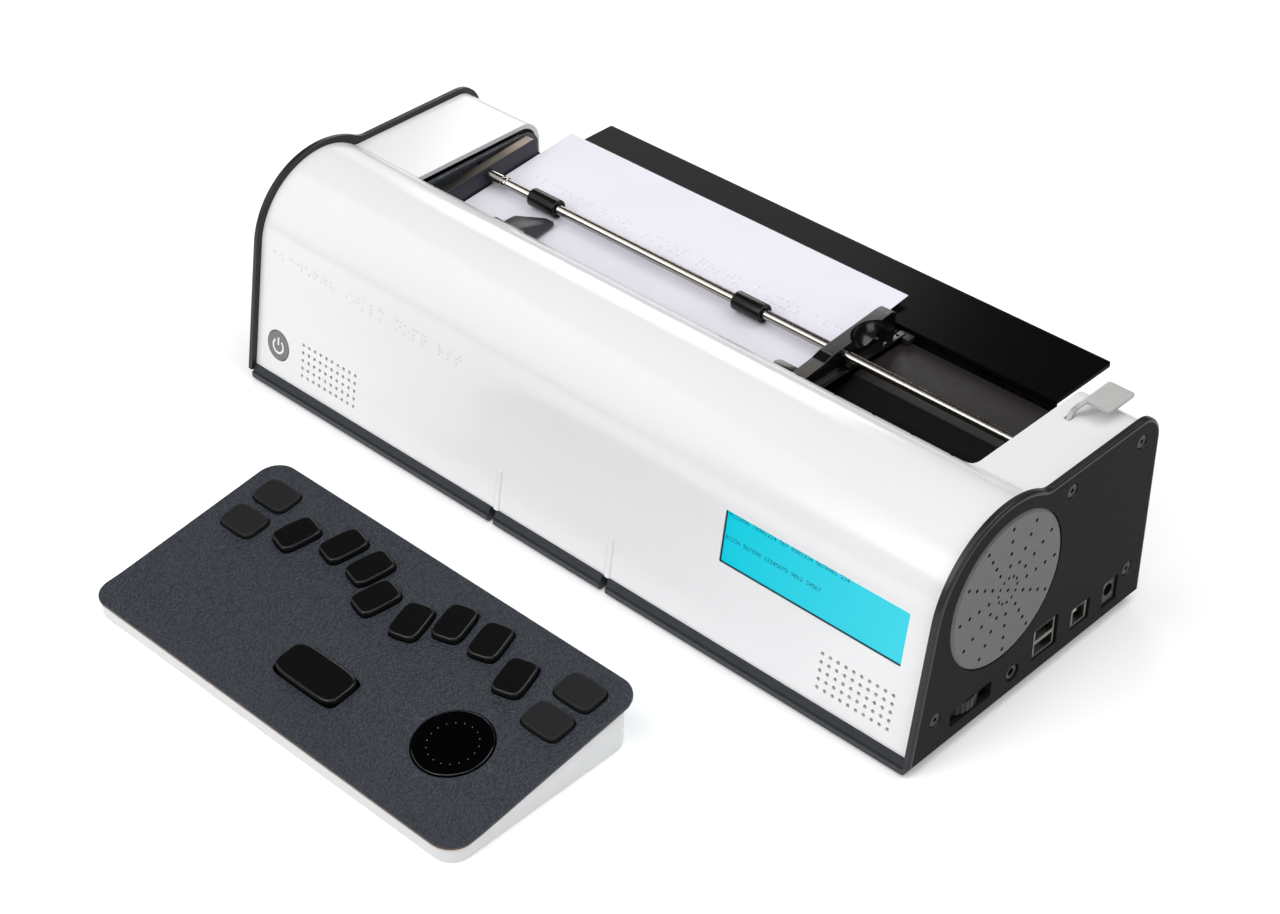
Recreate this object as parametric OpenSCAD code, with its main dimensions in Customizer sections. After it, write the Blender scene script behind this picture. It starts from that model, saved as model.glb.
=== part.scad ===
// Braille writer: an embossing unit with a loaded sheet, and the separate
// chord keyboard that stands in front of it.  Millimetres.
// X runs along the machine, Y from the keyboard to the back, Z up.

/* [Embossing unit] */
// Length over the end plates
unit_len = 436.3; // [400:0.1:470]
// Depth at the foot of the end plates
unit_dep = 167; // [150:0.5:185]
// End plate thickness
plate_t = 3.5; // [2.5:0.1:5]
// Backward lean of the front face in degrees
lean = 9.65; // [4:0.05:16]
// Radius of the rounded crown on the end plates
crown_r = 47.2; // [40:0.1:54]
// Height of the deck behind the crown
deck_z = 102; // [95:0.1:110]
// Radius of the upper rear corner
rear_r = 15; // [8:0.5:20]
// How far the cover lies inside the outline of the end plates
cover_in = 3; // [1:0.1:5]
// Wall of the cover
wall = 2.5; // [1.8:0.1:3.5]
// Left end of the top opening
open_l = -163; // [-170:0.5:-150]
// Right end of the top opening
open_r = 181.5; // [170:0.5:190]
// Front lip of the top opening
lip_y = 78.7; // [74:0.1:84]

/* [Front panel] */
// Display window width
lcd_w = 102.4; // [80:0.1:120]
// Display window height along the slope
lcd_h = 26.6; // [18:0.1:32]
// Pitch of the speaker holes
spk_pitch = 4.34; // [3:0.02:5.5]
// Diameter of one speaker hole
spk_d = 2; // [1.2:0.1:2.6]
// Diameter of the power button
pwr_d = 16; // [12:0.1:20]

/* [Paper path] */
// Width of the loaded sheet
sheet_w = 225; // [148:0.5:230]
// Length of the loaded sheet
sheet_l = 134; // [120:0.5:145]
// Diameter of the steel bail rod
rod_d = 5; // [4:0.1:6]
// Diameter of the bail rollers
bail_d = 9.6; // [8:0.1:10]
// Diameter of the driven feed rollers
feed_d = 18; // [14:0.1:18]
// Top of the paper bed
bed_z = 80; // [78:0.1:81]

/* [Keyboard] */
// Width of the keyboard top plate
kb_w = 242.4; // [230:0.1:260]
// Depth of the top plate along its slope
kb_d = 115.4; // [105:0.1:125]
// Slope of the top plate in degrees
kb_tilt = 8.47; // [4:0.01:12]
// Corner radius of the keyboard
kb_r = 12; // [8:0.5:20]
// Width of a dot key
key_w = 15; // [11:0.1:16]
// Length of a dot key
key_l = 20.8; // [15:0.1:22]
// Turn of the dot keys in degrees
key_turn = 14.5; // [0:0.1:20]
// Height of the keys above the plate
key_up = 3; // [2:0.1:4]
// Diameter of the navigation disc
nav_d = 36; // [30:0.1:40]

/* [Hidden] */

$fn = 48;
// shift of the drawing so that the floor is z = 0 and the box is centred
xo = -0.25;
yo = -15.97;
zo = 6;
xi = unit_len / 2 - plate_t;      // inner face of the end plates
xp = unit_len / 2;                // outer face of the end plates
cy = 58.5;                        // crown centre
cz = 62.5;
base_z = -4;                      // underside of the base tray
floor_t = 2.5;
seam_z = 2.5;                       // seam between base tray and cover
cov_l = open_l - 4.2;             // left edge of the cover's opening
cov_rb = 33;                      // rear half of the cover's crown
fcos = cos(lean);
fsin = sin(lean);
ftan = tan(lean);

// paper line: underside height at a given y
rod_y = 119;
rod_z = 88;
sheet_t = 0.25;
sheet_k = 0.1;
sheet_a = atan(sheet_k);
sheet_y = 176.7;                  // rear edge of the sheet
function sheet_z(y) = 82.35 + sheet_k * (y - rod_y);
feed_z = 82.0 - feed_d / 2;
rollers = [[-125.6, -107.4], [11.6, 29.6]];

// pivot of the release lever
lev_y = 145.5;
lev_z = 90.5;

// paper guide and head
gx = 69.6;                          // paper stop face of the right guide
rail_z = 92;
rail_ys = [48, 66];

// keyboard frame: centre of the upper face of the top plate
kx = -3.6;
ky = -112.6;
kz = 11.5;
kb_t = 3;
dot_pos = [[-72.2, 27.8], [-48.6, 36.1], [-27.9, 34], [-11.7, 22.8],
           [11.9, 22.8], [28.2, 34], [49, 36.1], [72.6, 27.9]];
func_pos = [[-100, 39.3], [-99.6, 18.9], [100.5, 39.5], [100.9, 19.3]];
space_pos = [1.1, -24.9];
nav_pos = [77.1, -14.1];
nav_z = -5.4;                     // pivot of the navigation disc
func_w = 21.6;
func_l = 15.8;
space_w = 40;
space_l = 19.4;
key_gap = 0.5;

module place() translate([xo, yo, zo]) children();
// draw a y-z outline and run it along x from x0 to x1
module along_x(x0, x1) translate([x0, 0, 0]) rotate([90, 0, 90]) linear_extrude(x1 - x0) children();
// frame on the cover's front face: x along, y up the slope, z outward
module on_front(x, s) translate([x, cover_in / fcos + s * fsin, s * fcos])
  rotate([90 - lean, 0, 0]) children();
module on_kb() translate([kx, ky, kz]) rotate([kb_tilt, 0, 0]) children();
module rr(w, h, r) {
  square([w - 2 * r, h], center = true);
  square([w, h - 2 * r], center = true);
  for (a = [-1, 1], b = [-1, 1]) translate([a * (w / 2 - r), b * (h / 2 - r)]) circle(r);
}

// outline in the y-z plane, set in by i, with rear crown radius rb, down to zb
module prof(i, rb, zb, rf) {
  r = crown_r - i;
  ap = cz + r;
  ca = ap - rb;
  zd = deck_z - i;
  yb = unit_dep - i;
  rr0 = rear_r - i;
  fy = cy + sqrt(pow(rb + rf, 2) - pow(zd + rf - ca, 2));
  q = rb / (rb + rf);
  tay = cy + q * (fy - cy);
  taz = ca + q * (zd + rf - ca);
  intersection() {
    translate([cy, cz]) circle(r);
    translate([-10, cz - 20]) square([cy + 10.01, 100]);
  }
  intersection() {
    translate([cy, ca]) circle(rb);
    translate([cy, cz - 20]) square([60, 100]);
  }
  polygon([[i / fcos + zb * ftan, zb], [cy - r * fcos, cz + r * fsin], [cy, cz], [cy, zb]]);
  translate([cy - 0.01, zb]) square([yb - cy + 0.01, deck_z - rear_r - zb]);
  translate([cy - 0.01, zb]) square([unit_dep - rear_r - cy + 0.01, zd - zb]);
  translate([unit_dep - rear_r, deck_z - rear_r]) circle(rr0);
  difference() {
    polygon([[tay, taz], [fy, zd], [fy, zd - 4], [tay - 4, zd - 4]]);
    translate([fy, zd + rf]) circle(rf);
  }
}
module cover_out() prof(cover_in, cov_rb, seam_z, 6);
module cover_inn() prof(cover_in + wall, cov_rb - wall, -20, 8);
module plate_out(e) prof(e, crown_r - e, 0, 12 + e);

scr = [[16.4, 18.5], [102, 92.3], [152.9, 90.9], [154.6, 19.1]];

module base_tray() color([0.07, 0.075, 0.085]) place() difference() {
  union() {
    translate([-xi, 4, base_z]) cube([2 * xi, 159, floor_t]);
    // front strip with its groove
    along_x(-xi, xi) polygon([[1.2, base_z - 1], [0, base_z - 0.2], [0, -1.2], [1, -0.9],
      [0.9, -0.4], [2.4, seam_z], [7.5, seam_z], [7.5, base_z - 1]]);
    // rear strip
    translate([-xi, 160, base_z]) cube([2 * xi, 4, seam_z - base_z]);
    // tongues inside the cover's front and rear walls
    translate([-120, 7.4, base_z]) cube([265, 2, 13]);
    translate([-xi + 14, 159.3, base_z]) cube([2 * xi - 28, 2, 14]);
    // standoffs for the main board and walls of the battery bay
    for (x = [190, 209], y = [30, 151]) translate([x, y, base_z]) cylinder(d = 5, h = 9);
    for (y = [88.5, 151]) translate([-156, y, base_z]) cube([132, 2, 16]);
  }
  // the two gaps in the front strip
  for (x = [-37.4, 37.2]) translate([x - 1.9, -2, base_z - 2]) cube([3.8, 7.5, 20]);
}

// screw bosses; the lower front one is short, to clear the power button
module boss(x0, x1, f0, f1) for (i = [0:3]) {
  if (i == 0) translate([f0, scr[0][0], scr[0][1]]) rotate([0, 90, 0]) cylinder(d = 8, h = f1 - f0);
  if (i > 0) translate([x0, scr[i][0], scr[i][1]]) rotate([0, 90, 0]) cylinder(d = 8, h = x1 - x0);
  if (i == 0) translate([f0, 6.2, scr[0][1] - 1.5]) cube([f1 - f0, 10, 3]);
  if (i == 1 || i == 2) translate([x0, scr[i][0] - 1.5, scr[i][1]]) cube([x1 - x0, 3, 96.9 - scr[i][1]]);
  if (i == 3) translate([x0, scr[3][0], scr[3][1] - 1.5]) cube([x1 - x0, 161.9 - scr[3][0], 3]);
}
module top_cover() color([0.93, 0.93, 0.94]) place() difference() {
  union() {
    difference() {
      along_x(-xi, xi) cover_out();
      along_x(-xi - 1, xi + 1) cover_inn();
    }
    boss(xi - 10, xi, xi - 5.8, xi);
    boss(-xi, -xi + 10, -xi, -xi + 5.8);
    // the two upright ribs on the front face
    for (x = [-36.2, 37.4]) on_front(x, 14) {
      translate([0, -2.5, -1]) linear_extrude(1.9) square([3.6, 17.8], center = true);
      translate([0, 9.4, -1]) cylinder(d = 3.6, h = 1.9);
    }
  }
  // top opening, open towards the back
  translate([0, 0, 76]) linear_extrude(60) {
    translate([cov_l, lip_y + 6]) square([open_r - cov_l, 120]);
    translate([cov_l + 2, lip_y]) square([open_r - cov_l - 8, 20]);
    translate([cov_l + 2, lip_y + 2]) circle(2);
    translate([cov_l, lip_y + 2]) square([8, 10]);
    translate([open_r - 6, lip_y + 6]) circle(6);
  }
  // tactile margin notches along the lip
  for (i = [0:15]) translate([171.3 - 21.65 * i, lip_y - 0.2, 90]) cylinder(r = 1.15, h = 20, $fn = 24);
  // display window
  on_front(151.1, 56.5) translate([0, 0, -8]) linear_extrude(16) square([lcd_w, lcd_h], center = true);
  // speaker holes
  for (c = [-159.7, 182.2], i = [0:9], j = [0:4])
    on_front(c + (i - 4.5) * spk_pitch, 19.6 + (j - 2) * spk_pitch) translate([0, 0, -8]) cylinder(d = spk_d, h = 16, $fn = 16);
  // power button
  on_front(-198.3, 19.9) translate([0, 0, -8]) cylinder(d = pwr_d + 0.8, h = 16);
  // curved slot that the release lever's strap slides through
  along_x(188.6, 192) translate([lev_y, lev_z]) intersection() {
    difference() {
      circle(13.75, $fn = 96);
      circle(10.95, $fn = 96);
    }
    translate([-20, 4.5]) square([19, 20]);
  }
  // screw holes for the end plates
  for (m = [-1, 1], p = scr) translate([m * (xi - 5), p[0], p[1]]) rotate([0, 90, 0]) cylinder(d = 3, h = 20, center = true, $fn = 24);
}

module plate_body() {
  along_x(xi, xi + plate_t - 1.1) plate_out(0);
  along_x(xi + plate_t - 1.2, xi + plate_t) plate_out(1.2);
}
module plate_holes() for (p = scr) {
  translate([xi - 1, p[0], p[1]]) rotate([0, 90, 0]) cylinder(d = 3.2, h = 10, $fn = 24);
  translate([xi + 1.5, p[0], p[1]]) rotate([0, 90, 0]) cylinder(d = 7, h = 10);
}
module end_plate_left() color([0.1, 0.105, 0.115]) place() mirror([1, 0, 0]) difference() {
  plate_body();
  plate_holes();
}
module end_plate_right() color([0.1, 0.105, 0.115]) place() difference() {
  plate_body();
  plate_holes();
  // seat of the round grille disc
  translate([xp - 1.6, 59.8, 63.7]) rotate([0, 90, 0]) cylinder(r = 38.1, h = 5, $fn = 96);
  // volume wheel slot, sound socket, three connector cut-outs
  translate([xi - 1, 41.1, 11.5]) rotate([90, 0, 90]) linear_extrude(9) rr(28.6, 9, 1.5);
  translate([xi - 1, 70.5, 10.5]) rotate([0, 90, 0]) cylinder(d = 9, h = 9);
  translate([xi - 1, 93.5, 16.35]) rotate([90, 0, 90]) linear_extrude(9) rr(17.9, 17.3, 1);
  translate([xi - 1, 119.6, 13.75]) rotate([90, 0, 90]) linear_extrude(9) rr(14, 12.1, 1);
  translate([xi - 1, 142.3, 13.05]) rotate([90, 0, 90]) linear_extrude(9) rr(11.4, 14.5, 1);
}
module speaker_disc() color([0.42, 0.42, 0.43]) place() translate([xp - 1.6, 59.8, 63.7]) rotate([0, 90, 0]) difference() {
  union() {
    cylinder(r = 37.8, h = 1.7, $fn = 96);
    cylinder(r = 36.9, h = 2.1, $fn = 96);
  }
  translate([0, 0, 0.7]) cylinder(d = 1.8, h = 4, $fn = 16);
  for (k = [0:11], m = [1:5]) rotate([0, 0, 30 * k]) translate([6.5 * m, 0, 0.7]) cylinder(d = m == 1 ? 1.5 : 1.8, h = 4, $fn = 16);
}

module lcd_panel() color([0.1, 0.8, 0.9]) place() on_front(151.1, 56.5)
  translate([0, 0, -wall - 2.6]) linear_extrude(2.55) square([lcd_w + 8, lcd_h + 7], center = true);
module lcd_board() color([0.08, 0.3, 0.16]) place() on_front(151.1, 56.5) translate([0, 0, -wall - 4.2]) {
  linear_extrude(1.6) square([lcd_w + 10, lcd_h + 9], center = true);
  for (x = [-35, 0, 35]) translate([x - 6, -5, -1.5]) cube([12, 10, 1.6]);
}
module driver() {
  translate([0, 0, -wall - 3.1]) linear_extrude(3) difference() {
    square([44, 26], center = true);
    square([41.5, 21], center = true);
  }
  translate([0, 0, -wall - 7.1]) linear_extrude(4.1) square([44, 26], center = true);
  translate([0, 0, -wall - 11]) cylinder(d = 18, h = 4);
}
module speaker_left() color([0.12, 0.12, 0.12]) place() on_front(-159.7, 19.8) driver();
module speaker_right() color([0.12, 0.12, 0.12]) place() on_front(182.2, 19.8) driver();

module main_board() color([0.07, 0.28, 0.15]) place() {
  translate([187, 26, 5]) cube([25, 129, 1.6]);
  translate([189, 62, 6.5]) cube([7, 7, 2]);
  translate([189, 128, 6.5]) cube([6, 12, 2.5]);
}
module usb_a_port() color([0.72, 0.73, 0.74]) place() difference() {
  union() {
    translate([197, 86, 8.3]) cube([20.2, 15, 16]);
    translate([197, 87, 6.6]) cube([16, 13, 1.8]);
  }
  // two sockets, one above the other
  for (z = [9.3, 17.3]) translate([203, 87, z]) cube([20, 13, 6]);
}
module usb_b_port() color([0.72, 0.73, 0.74]) place() difference() {
  union() {
    translate([198, 113.8, 8.2]) cube([19.2, 11.6, 11]);
    translate([198, 114.8, 6.6]) cube([15, 9.6, 1.7]);
  }
  translate([204, 115.2, 9.4]) cube([20, 8.8, 8.6]);
}
module dc_inlet() color([0.06, 0.06, 0.065]) place() difference() {
  translate([202, 137.3, 6.6]) cube([15, 10, 13]);
  translate([204.5, 142.3, 13.6]) rotate([0, 90, 0]) cylinder(d = 6.4, h = 20);
}
module audio_jack() color([0.08, 0.08, 0.085]) place() difference() {
  union() {
    translate([200, 65.8, 6.6]) cube([13.5, 9.4, 8.6]);
    translate([213, 70.5, 10.5]) rotate([0, 90, 0]) cylinder(d = 8.2, h = 4);
  }
  translate([202, 70.5, 10.5]) rotate([0, 90, 0]) cylinder(d = 3.6, h = 20, $fn = 32);
}
module volume_pot() color([0.35, 0.35, 0.36]) place() {
  translate([197, 37, 6.6]) cube([8, 8, 1.2]);
  translate([201, 41.1, 6.6]) cylinder(d = 5, h = 9);
}
module volume_wheel() color([0.05, 0.05, 0.055]) place() translate([201, 41.1, 8.4]) difference() {
  union() {
    cylinder(r = 16.9, h = 6, $fn = 64);
    translate([0, 0, 5.9]) cylinder(d = 10, h = 0.9);
  }
  translate([0, 0, -1]) cylinder(d = 5.16, h = 12);
  // grip notches round the rim
  for (k = [0:35]) rotate([0, 0, 10 * k]) translate([17.1, 0, -1]) cylinder(d = 1.1, h = 12, $fn = 16);
}
module battery_pack() color([0.12, 0.14, 0.2]) place() {
  for (k = [0:2]) translate([-150, 101 + 19 * k, 8]) rotate([0, 90, 0]) cylinder(d = 18.4, h = 120);
  translate([-151, 91, base_z + floor_t]) cube([122, 59, 4.5]);
}
module rubber_feet() color([0.05, 0.05, 0.05]) place()
  for (x = [-190, 190], y = [22, 146]) translate([x, y, -zo]) cylinder(d = 15, h = zo + base_z);
module screw() {
  difference() {
    cylinder(d = 6.4, h = 1.5);
    translate([0, 0, 0.5]) cylinder(d = 2.4, h = 3, $fn = 6);
  }
  translate([0, 0, -8.5]) cylinder(d = 2.9, h = 8.6, $fn = 24);
}
module plate_screws() color([0.16, 0.16, 0.17]) place() for (m = [0, 1], p = scr)
  mirror([m, 0, 0]) translate([xi + 1.5, p[0], p[1]]) rotate([0, 90, 0]) screw();

// steel side frames that carry the paper path
module frame_2d() difference() {
  prof(cover_in + wall + 1.5, cov_rb - wall - 1.5, base_z + floor_t, 10);
  // clear of the display, the speakers and the volume wheel
  translate([-5, -10]) square([31, 130]);
  translate([20, -10]) square([43, 34]);
  translate([152, -10]) square([20, 50]);
  for (y = rail_ys) translate([y, rail_z]) circle(d = 6.04);
  translate([rod_y, feed_z]) circle(d = 6.2);
}
module frame_left() color([0.6, 0.61, 0.62]) place() {
  along_x(open_l - 3, open_l - 1) difference() {
    frame_2d();
    // screw holes for the feed motor's flange
    for (d = [-18.4, 18.4]) translate([rod_y, feed_z + d]) circle(d = 3.2, $fn = 24);
  }
  // foot bent out on the tray's floor
  translate([open_l - 11, 70, base_z + floor_t]) cube([8.6, 20, 2]);
}
module frame_right() color([0.6, 0.61, 0.62]) place() {
  along_x(open_r + 2, open_r + 4) difference() {
    frame_2d();
    translate([rod_y, rod_z]) circle(d = rod_d + 0.04);
  }
  // pivot pin of the release lever
  translate([open_r + 3.9, lev_y, lev_z]) rotate([0, 90, 0]) cylinder(d = 4, h = 11.5, $fn = 32);
}

module paper_bed() color([0.03, 0.03, 0.033]) place() difference() {
  // flat bed, short slope, and the trough under the head
  along_x(open_l - 1, open_r + 2) polygon([[157, bed_z], [119.6, bed_z], [118, bed_z - 0.5], [109.5, bed_z - 4.4],
    [107.5, bed_z - 10], [91, bed_z - 11], [91, bed_z - 13.5], [109, bed_z - 12.7], [111.4, bed_z - 6.4], [119, bed_z - 3],
    [154, bed_z - 3], [154, bed_z - 9], [157, bed_z - 9]]);
  for (r = rollers) translate([r[0] - 1.5, rod_y - 10.5, bed_z - 20]) cube([r[1] - r[0] + 3, 19, 30]);
}
module paper_guide_left() color([0.05, 0.05, 0.055]) place() difference() {
  // tall bar beside the sheet, rising to the rear
  along_x(-162.8, -157.2) polygon([[lip_y + 1.6, bed_z], [lip_y + 1.6, 89.7], [150.6, 95.4], [152.4, 94.4], [152.4, bed_z]]);
  translate([-160.2, rod_y, rod_z]) rotate([0, 90, 0]) cylinder(d = rod_d + 0.04, h = 10);
}
module paper_shelf() color([0.02, 0.02, 0.022]) place() {
  translate([8.3, 180.3, 82.5]) linear_extrude(2.5) rr(319.4, 42.6, 2);
  translate([-151, 159.2, 80.4]) cube([318.6, 2, 3]);
  for (x = [-120, 3, 126]) translate([x, 159.2, 68]) cube([12, 2.3, 14]);
}
module bail_rod() color([0.78, 0.78, 0.79]) place() {
  translate([-160.2, rod_y, rod_z]) rotate([0, 90, 0]) cylinder(d = rod_d, h = open_r + 4 + 160.2);
  translate([-156.9, rod_y, rod_z]) rotate([0, 90, 0]) cylinder(d = 6.4, h = 13.4);
}
module bail_roller(r) translate([r[0], rod_y, rod_z]) rotate([0, 90, 0]) difference() {
  union() {
    cylinder(d = bail_d, h = r[1] - r[0]);
  }
  translate([0, 0, -1]) cylinder(d = rod_d + 0.16, h = 60);
}
module bail_roller_left() color([0.03, 0.03, 0.03]) place() bail_roller(rollers[0]);
module bail_roller_right() color([0.03, 0.03, 0.03]) place() bail_roller(rollers[1]);

module rail(y) translate([open_l - 3, y, rail_z]) rotate([0, 90, 0]) cylinder(d = 6, h = open_r - open_l + 7);
module rail_front() color([0.7, 0.71, 0.72]) place() rail(rail_ys[0]);
module rail_rear() color([0.7, 0.71, 0.72]) place() rail(rail_ys[1]);
module embossing_head() color([0.04, 0.04, 0.045]) place() difference() {
  union() {
    translate([-129, 42, 86]) cube([40, 30, 11]);
    // arm under the lip and the nose over the sheet
    translate([-120, 71, 84.5]) cube([22, 16, 9]);
    translate([0, 0, 83.2]) linear_extrude(2.4)
      polygon([[-123.2, 86], [-123, 101], [-122.2, 103], [-108.9, 111.4], [-104.8, 112.5], [-103.6, 111.8], [-101.5, 86]]);
    along_x(-115, -106) polygon([[86, 85], [86, 89], [108, 86], [108, 85]]);
  }
  for (y = rail_ys) translate([-130, y, rail_z]) rotate([0, 90, 0]) cylinder(d = 6.2, h = 60);
}

module feed_motor() color([0.2, 0.2, 0.21]) place() translate([open_l - 3, rod_y, feed_z]) rotate([0, -90, 0]) difference() {
  union() {
    cylinder(d = 36, h = 26);
    translate([-21, -8, 0]) cube([42, 16, 2]);
  }
  translate([0, 0, -1]) cylinder(d = 6.6, h = 14);
}
module carriage_motor() color([0.2, 0.2, 0.21]) place() translate([open_l - 3, 57, 72]) rotate([0, -90, 0]) {
  cylinder(d = 28, h = 24);
  cylinder(d = 12, h = 27);
}
module feed_shaft() color([0.7, 0.71, 0.72]) place() translate([open_l - 12, rod_y, feed_z]) rotate([0, 90, 0]) {
  cylinder(d = 6, h = open_r - open_l + 18);
  translate([0, 0, 11.4]) cylinder(d = 7.2, h = 1.5);
}
module feed_tyres() color([0.06, 0.06, 0.06]) place() for (r = rollers)
  translate([r[0], rod_y, feed_z]) rotate([0, 90, 0]) difference() {
    cylinder(d = feed_d, h = r[1] - r[0]);
    translate([0, 0, -1]) cylinder(d = 6, h = 60);
  }

module paper_sheet() color([0.92, 0.92, 0.95]) place()
  translate([-156.3, sheet_y - sheet_l * cos(sheet_a), sheet_z(sheet_y - sheet_l * cos(sheet_a))]) rotate([sheet_a, 0, 0])
    cube([sheet_w, sheet_l, sheet_t]);

module paper_guide_right() color([0.03, 0.03, 0.032]) place() difference() {
  union() {
    // foot on the bed and the long bar that rises to the rear in two steps
    translate([gx, 92, bed_z + 0.4]) cube([14.6, 65, 3.2]);
    along_x(70.8, 78.8) polygon([[87.5, bed_z + 0.5], [87.5, 88], [89.2, 89.2], [103.7, 90.6], [109.6, 92.4],
      [150, 95.5], [153.5, 95.2], [155, 93.6], [155, bed_z + 0.5]]);
    // rear tab
    translate([80, 153.2, bed_z + 0.4]) cube([8.2, 5, 3.2]);
    // finger that holds the sheet down at the lip
    translate([58.8, 92.8, 83.6]) cube([13, 6, 2.4]);
    translate([58.8, 95.8, 83.6]) cylinder(d = 6, h = 2.4);
  }
  translate([60, rod_y, rod_z]) rotate([0, 90, 0]) cylinder(d = rod_d + 0.6, h = 40);
  // thumb scoop in the bar's upper edge
  translate([84.9, 133.3, 97.5]) sphere(r = 12.8);
}

// strap drawn about its pivot: a ring sector through the deck and a spoke to
// the hub inside
module lever_2d() translate([lev_y, lev_z]) {
  intersection() {
    difference() {
      circle(13.3, $fn = 96);
      circle(11.4, $fn = 96);
    }
    polygon([[0, 0], [-11, 38.4], [-30.2, 26.2], [-39.6, 5.6]]);
  }
  polygon([[0, -2.2], [-12.4, 1.7], [-11.8, 4.4], [0, 2.4]]);
}
module release_lever() color([0.72, 0.72, 0.71]) place() difference() {
  union() {
    translate([189, lev_y, lev_z]) rotate([0, 90, 0]) cylinder(d = 9, h = 4.4);
    along_x(189, 191.6) lever_2d();
    // riser and the paddle it carries
    along_x(190.4, 195.2) translate([lev_y, lev_z]) polygon([[-5.6, 11], [-6.2, 12.4], [-5.6, 14.6], [-4.4, 16], [-2.8, 16.5],
      [-0.4, 16.5], [-0.4, 14.9], [-1.8, 14.4], [-2.6, 13.4], [-3.2, 11.6]]);
    translate([199.75, 151.55, 105.3]) linear_extrude(1.9) rr(14.1, 19.2, 1.2);
  }
  translate([180, lev_y, lev_z]) rotate([0, 90, 0]) cylinder(d = 4.16, h = 40, $fn = 32);
}
module power_button() color([0.5, 0.5, 0.51]) place() on_front(-198.3, 19.9) {
  translate([0, 0, -wall - 1]) cylinder(d = pwr_d, h = wall + 1.1);
  translate([0, 0, -wall - 2.6]) cylinder(d = pwr_d + 4, h = 1.7);
}

// keyboard
module kb_out(g) rr(kb_w - 2 * g, kb_d - 2 * g, kb_r - g);
module each_dot(g) for (i = [0:7]) translate(dot_pos[i]) rotate(i < 4 ? -key_turn : key_turn) rr(key_w + g, key_l + g, 4.4 + g / 2);
module each_func(g) for (p = func_pos) translate(p) rr(func_w + g, func_l + g, 4.2 + g / 2);
module kb_base() color([0.93, 0.93, 0.93]) place() {
  kb_tub();
  kb_posts();
}
module kb_tub() difference() {
  translate([kx, ky - 2, -5.5]) linear_extrude(40) rr(kb_w - 1.6, (kb_d - 1.6) * cos(kb_tilt) - 4, kb_r - 0.8);
  on_kb() translate([0, 0, 20 - kb_t]) cube([400, 300, 40], center = true);
  // hollow inside
  intersection() {
    translate([kx, ky - 1.75, -3]) linear_extrude(40) rr(kb_w - 7.6, kb_d * cos(kb_tilt) - 11, kb_r - 3.8);
    translate([kx, ky, 17]) cube([400, 300, 40], center = true);
  }
}
// posts under the key board, cut to its slope
module kb_posts() intersection() {
  for (a = [-1, 1], b = [-26, 36]) translate([kx + a * 104, ky + b, -3.1]) cylinder(d = 5, h = 30);
  on_kb() translate([0, 0, -9.2 - 20]) cube([400, 300, 40], center = true);
}
module kb_top() color([0.2, 0.22, 0.245]) place() on_kb() difference() {
  translate([0, 0, -kb_t]) linear_extrude(kb_t) kb_out(0);
  translate([0, 0, -kb_t - 1]) linear_extrude(10) {
    each_dot(2 * key_gap);
    each_func(2 * key_gap);
    translate(space_pos) rr(space_w + 2 * key_gap, space_l + 2 * key_gap, 4.5);
    translate(nav_pos) circle(d = nav_d + 1.6, $fn = 96);
  }
  // four engraved direction marks round the navigation disc
  for (k = [0:3]) translate(nav_pos) rotate(90 * k) translate([nav_d / 2 + 3.4, 0, 0]) cube([4, 0.7, 0.8], center = true);
}
module kb_board() color([0.07, 0.28, 0.15]) place() on_kb()
  translate([0, 6.5, -9.2]) linear_extrude(1.2) square([224, 80], center = true);
module kb_domes() color([0.5, 0.5, 0.52]) place() on_kb() translate([0, 0, -8]) {
  for (p = dot_pos) translate(p) cylinder(d = 8, h = 1.3, $fn = 24);
  for (p = func_pos) translate(p) cylinder(d = 8, h = 1.3, $fn = 24);
  translate(space_pos) cylinder(d = 8, h = 1.3, $fn = 24);
}
module kb_feet() color([0.05, 0.05, 0.05]) place()
  for (a = [-1, 1], b = [-1, 1]) translate([kx + a * 102, ky + b * 40, -zo]) cylinder(d = 10, h = zo - 5.5);
module dot_key(i) translate(dot_pos[i]) rotate(i < 4 ? -key_turn : key_turn) translate([0, 0, -4.2]) {
  linear_extrude(key_up + 4.2) rr(key_w, key_l, 4.4);
}
module func_key(i) translate(func_pos[i]) translate([0, 0, -4.2]) linear_extrude(key_up + 3.4) rr(func_w, func_l, 4.2);
module key_dot_1() color([0.02, 0.02, 0.022]) place() on_kb() dot_key(0);
module key_dot_2() color([0.02, 0.02, 0.022]) place() on_kb() dot_key(1);
module key_dot_3() color([0.02, 0.02, 0.022]) place() on_kb() dot_key(2);
module key_dot_4() color([0.02, 0.02, 0.022]) place() on_kb() dot_key(3);
module key_dot_5() color([0.02, 0.02, 0.022]) place() on_kb() dot_key(4);
module key_dot_6() color([0.02, 0.02, 0.022]) place() on_kb() dot_key(5);
module key_dot_7() color([0.02, 0.02, 0.022]) place() on_kb() dot_key(6);
module key_dot_8() color([0.02, 0.02, 0.022]) place() on_kb() dot_key(7);
module key_func_1() color([0.06, 0.062, 0.065]) place() on_kb() func_key(0);
module key_func_2() color([0.06, 0.062, 0.065]) place() on_kb() func_key(1);
module key_func_3() color([0.06, 0.062, 0.065]) place() on_kb() func_key(2);
module key_func_4() color([0.06, 0.062, 0.065]) place() on_kb() func_key(3);
module key_space() color([0.03, 0.03, 0.032]) place() on_kb() translate(space_pos) translate([0, 0, -4.2])
  linear_extrude(key_up + 4.2) rr(space_w, space_l, 4);
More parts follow.
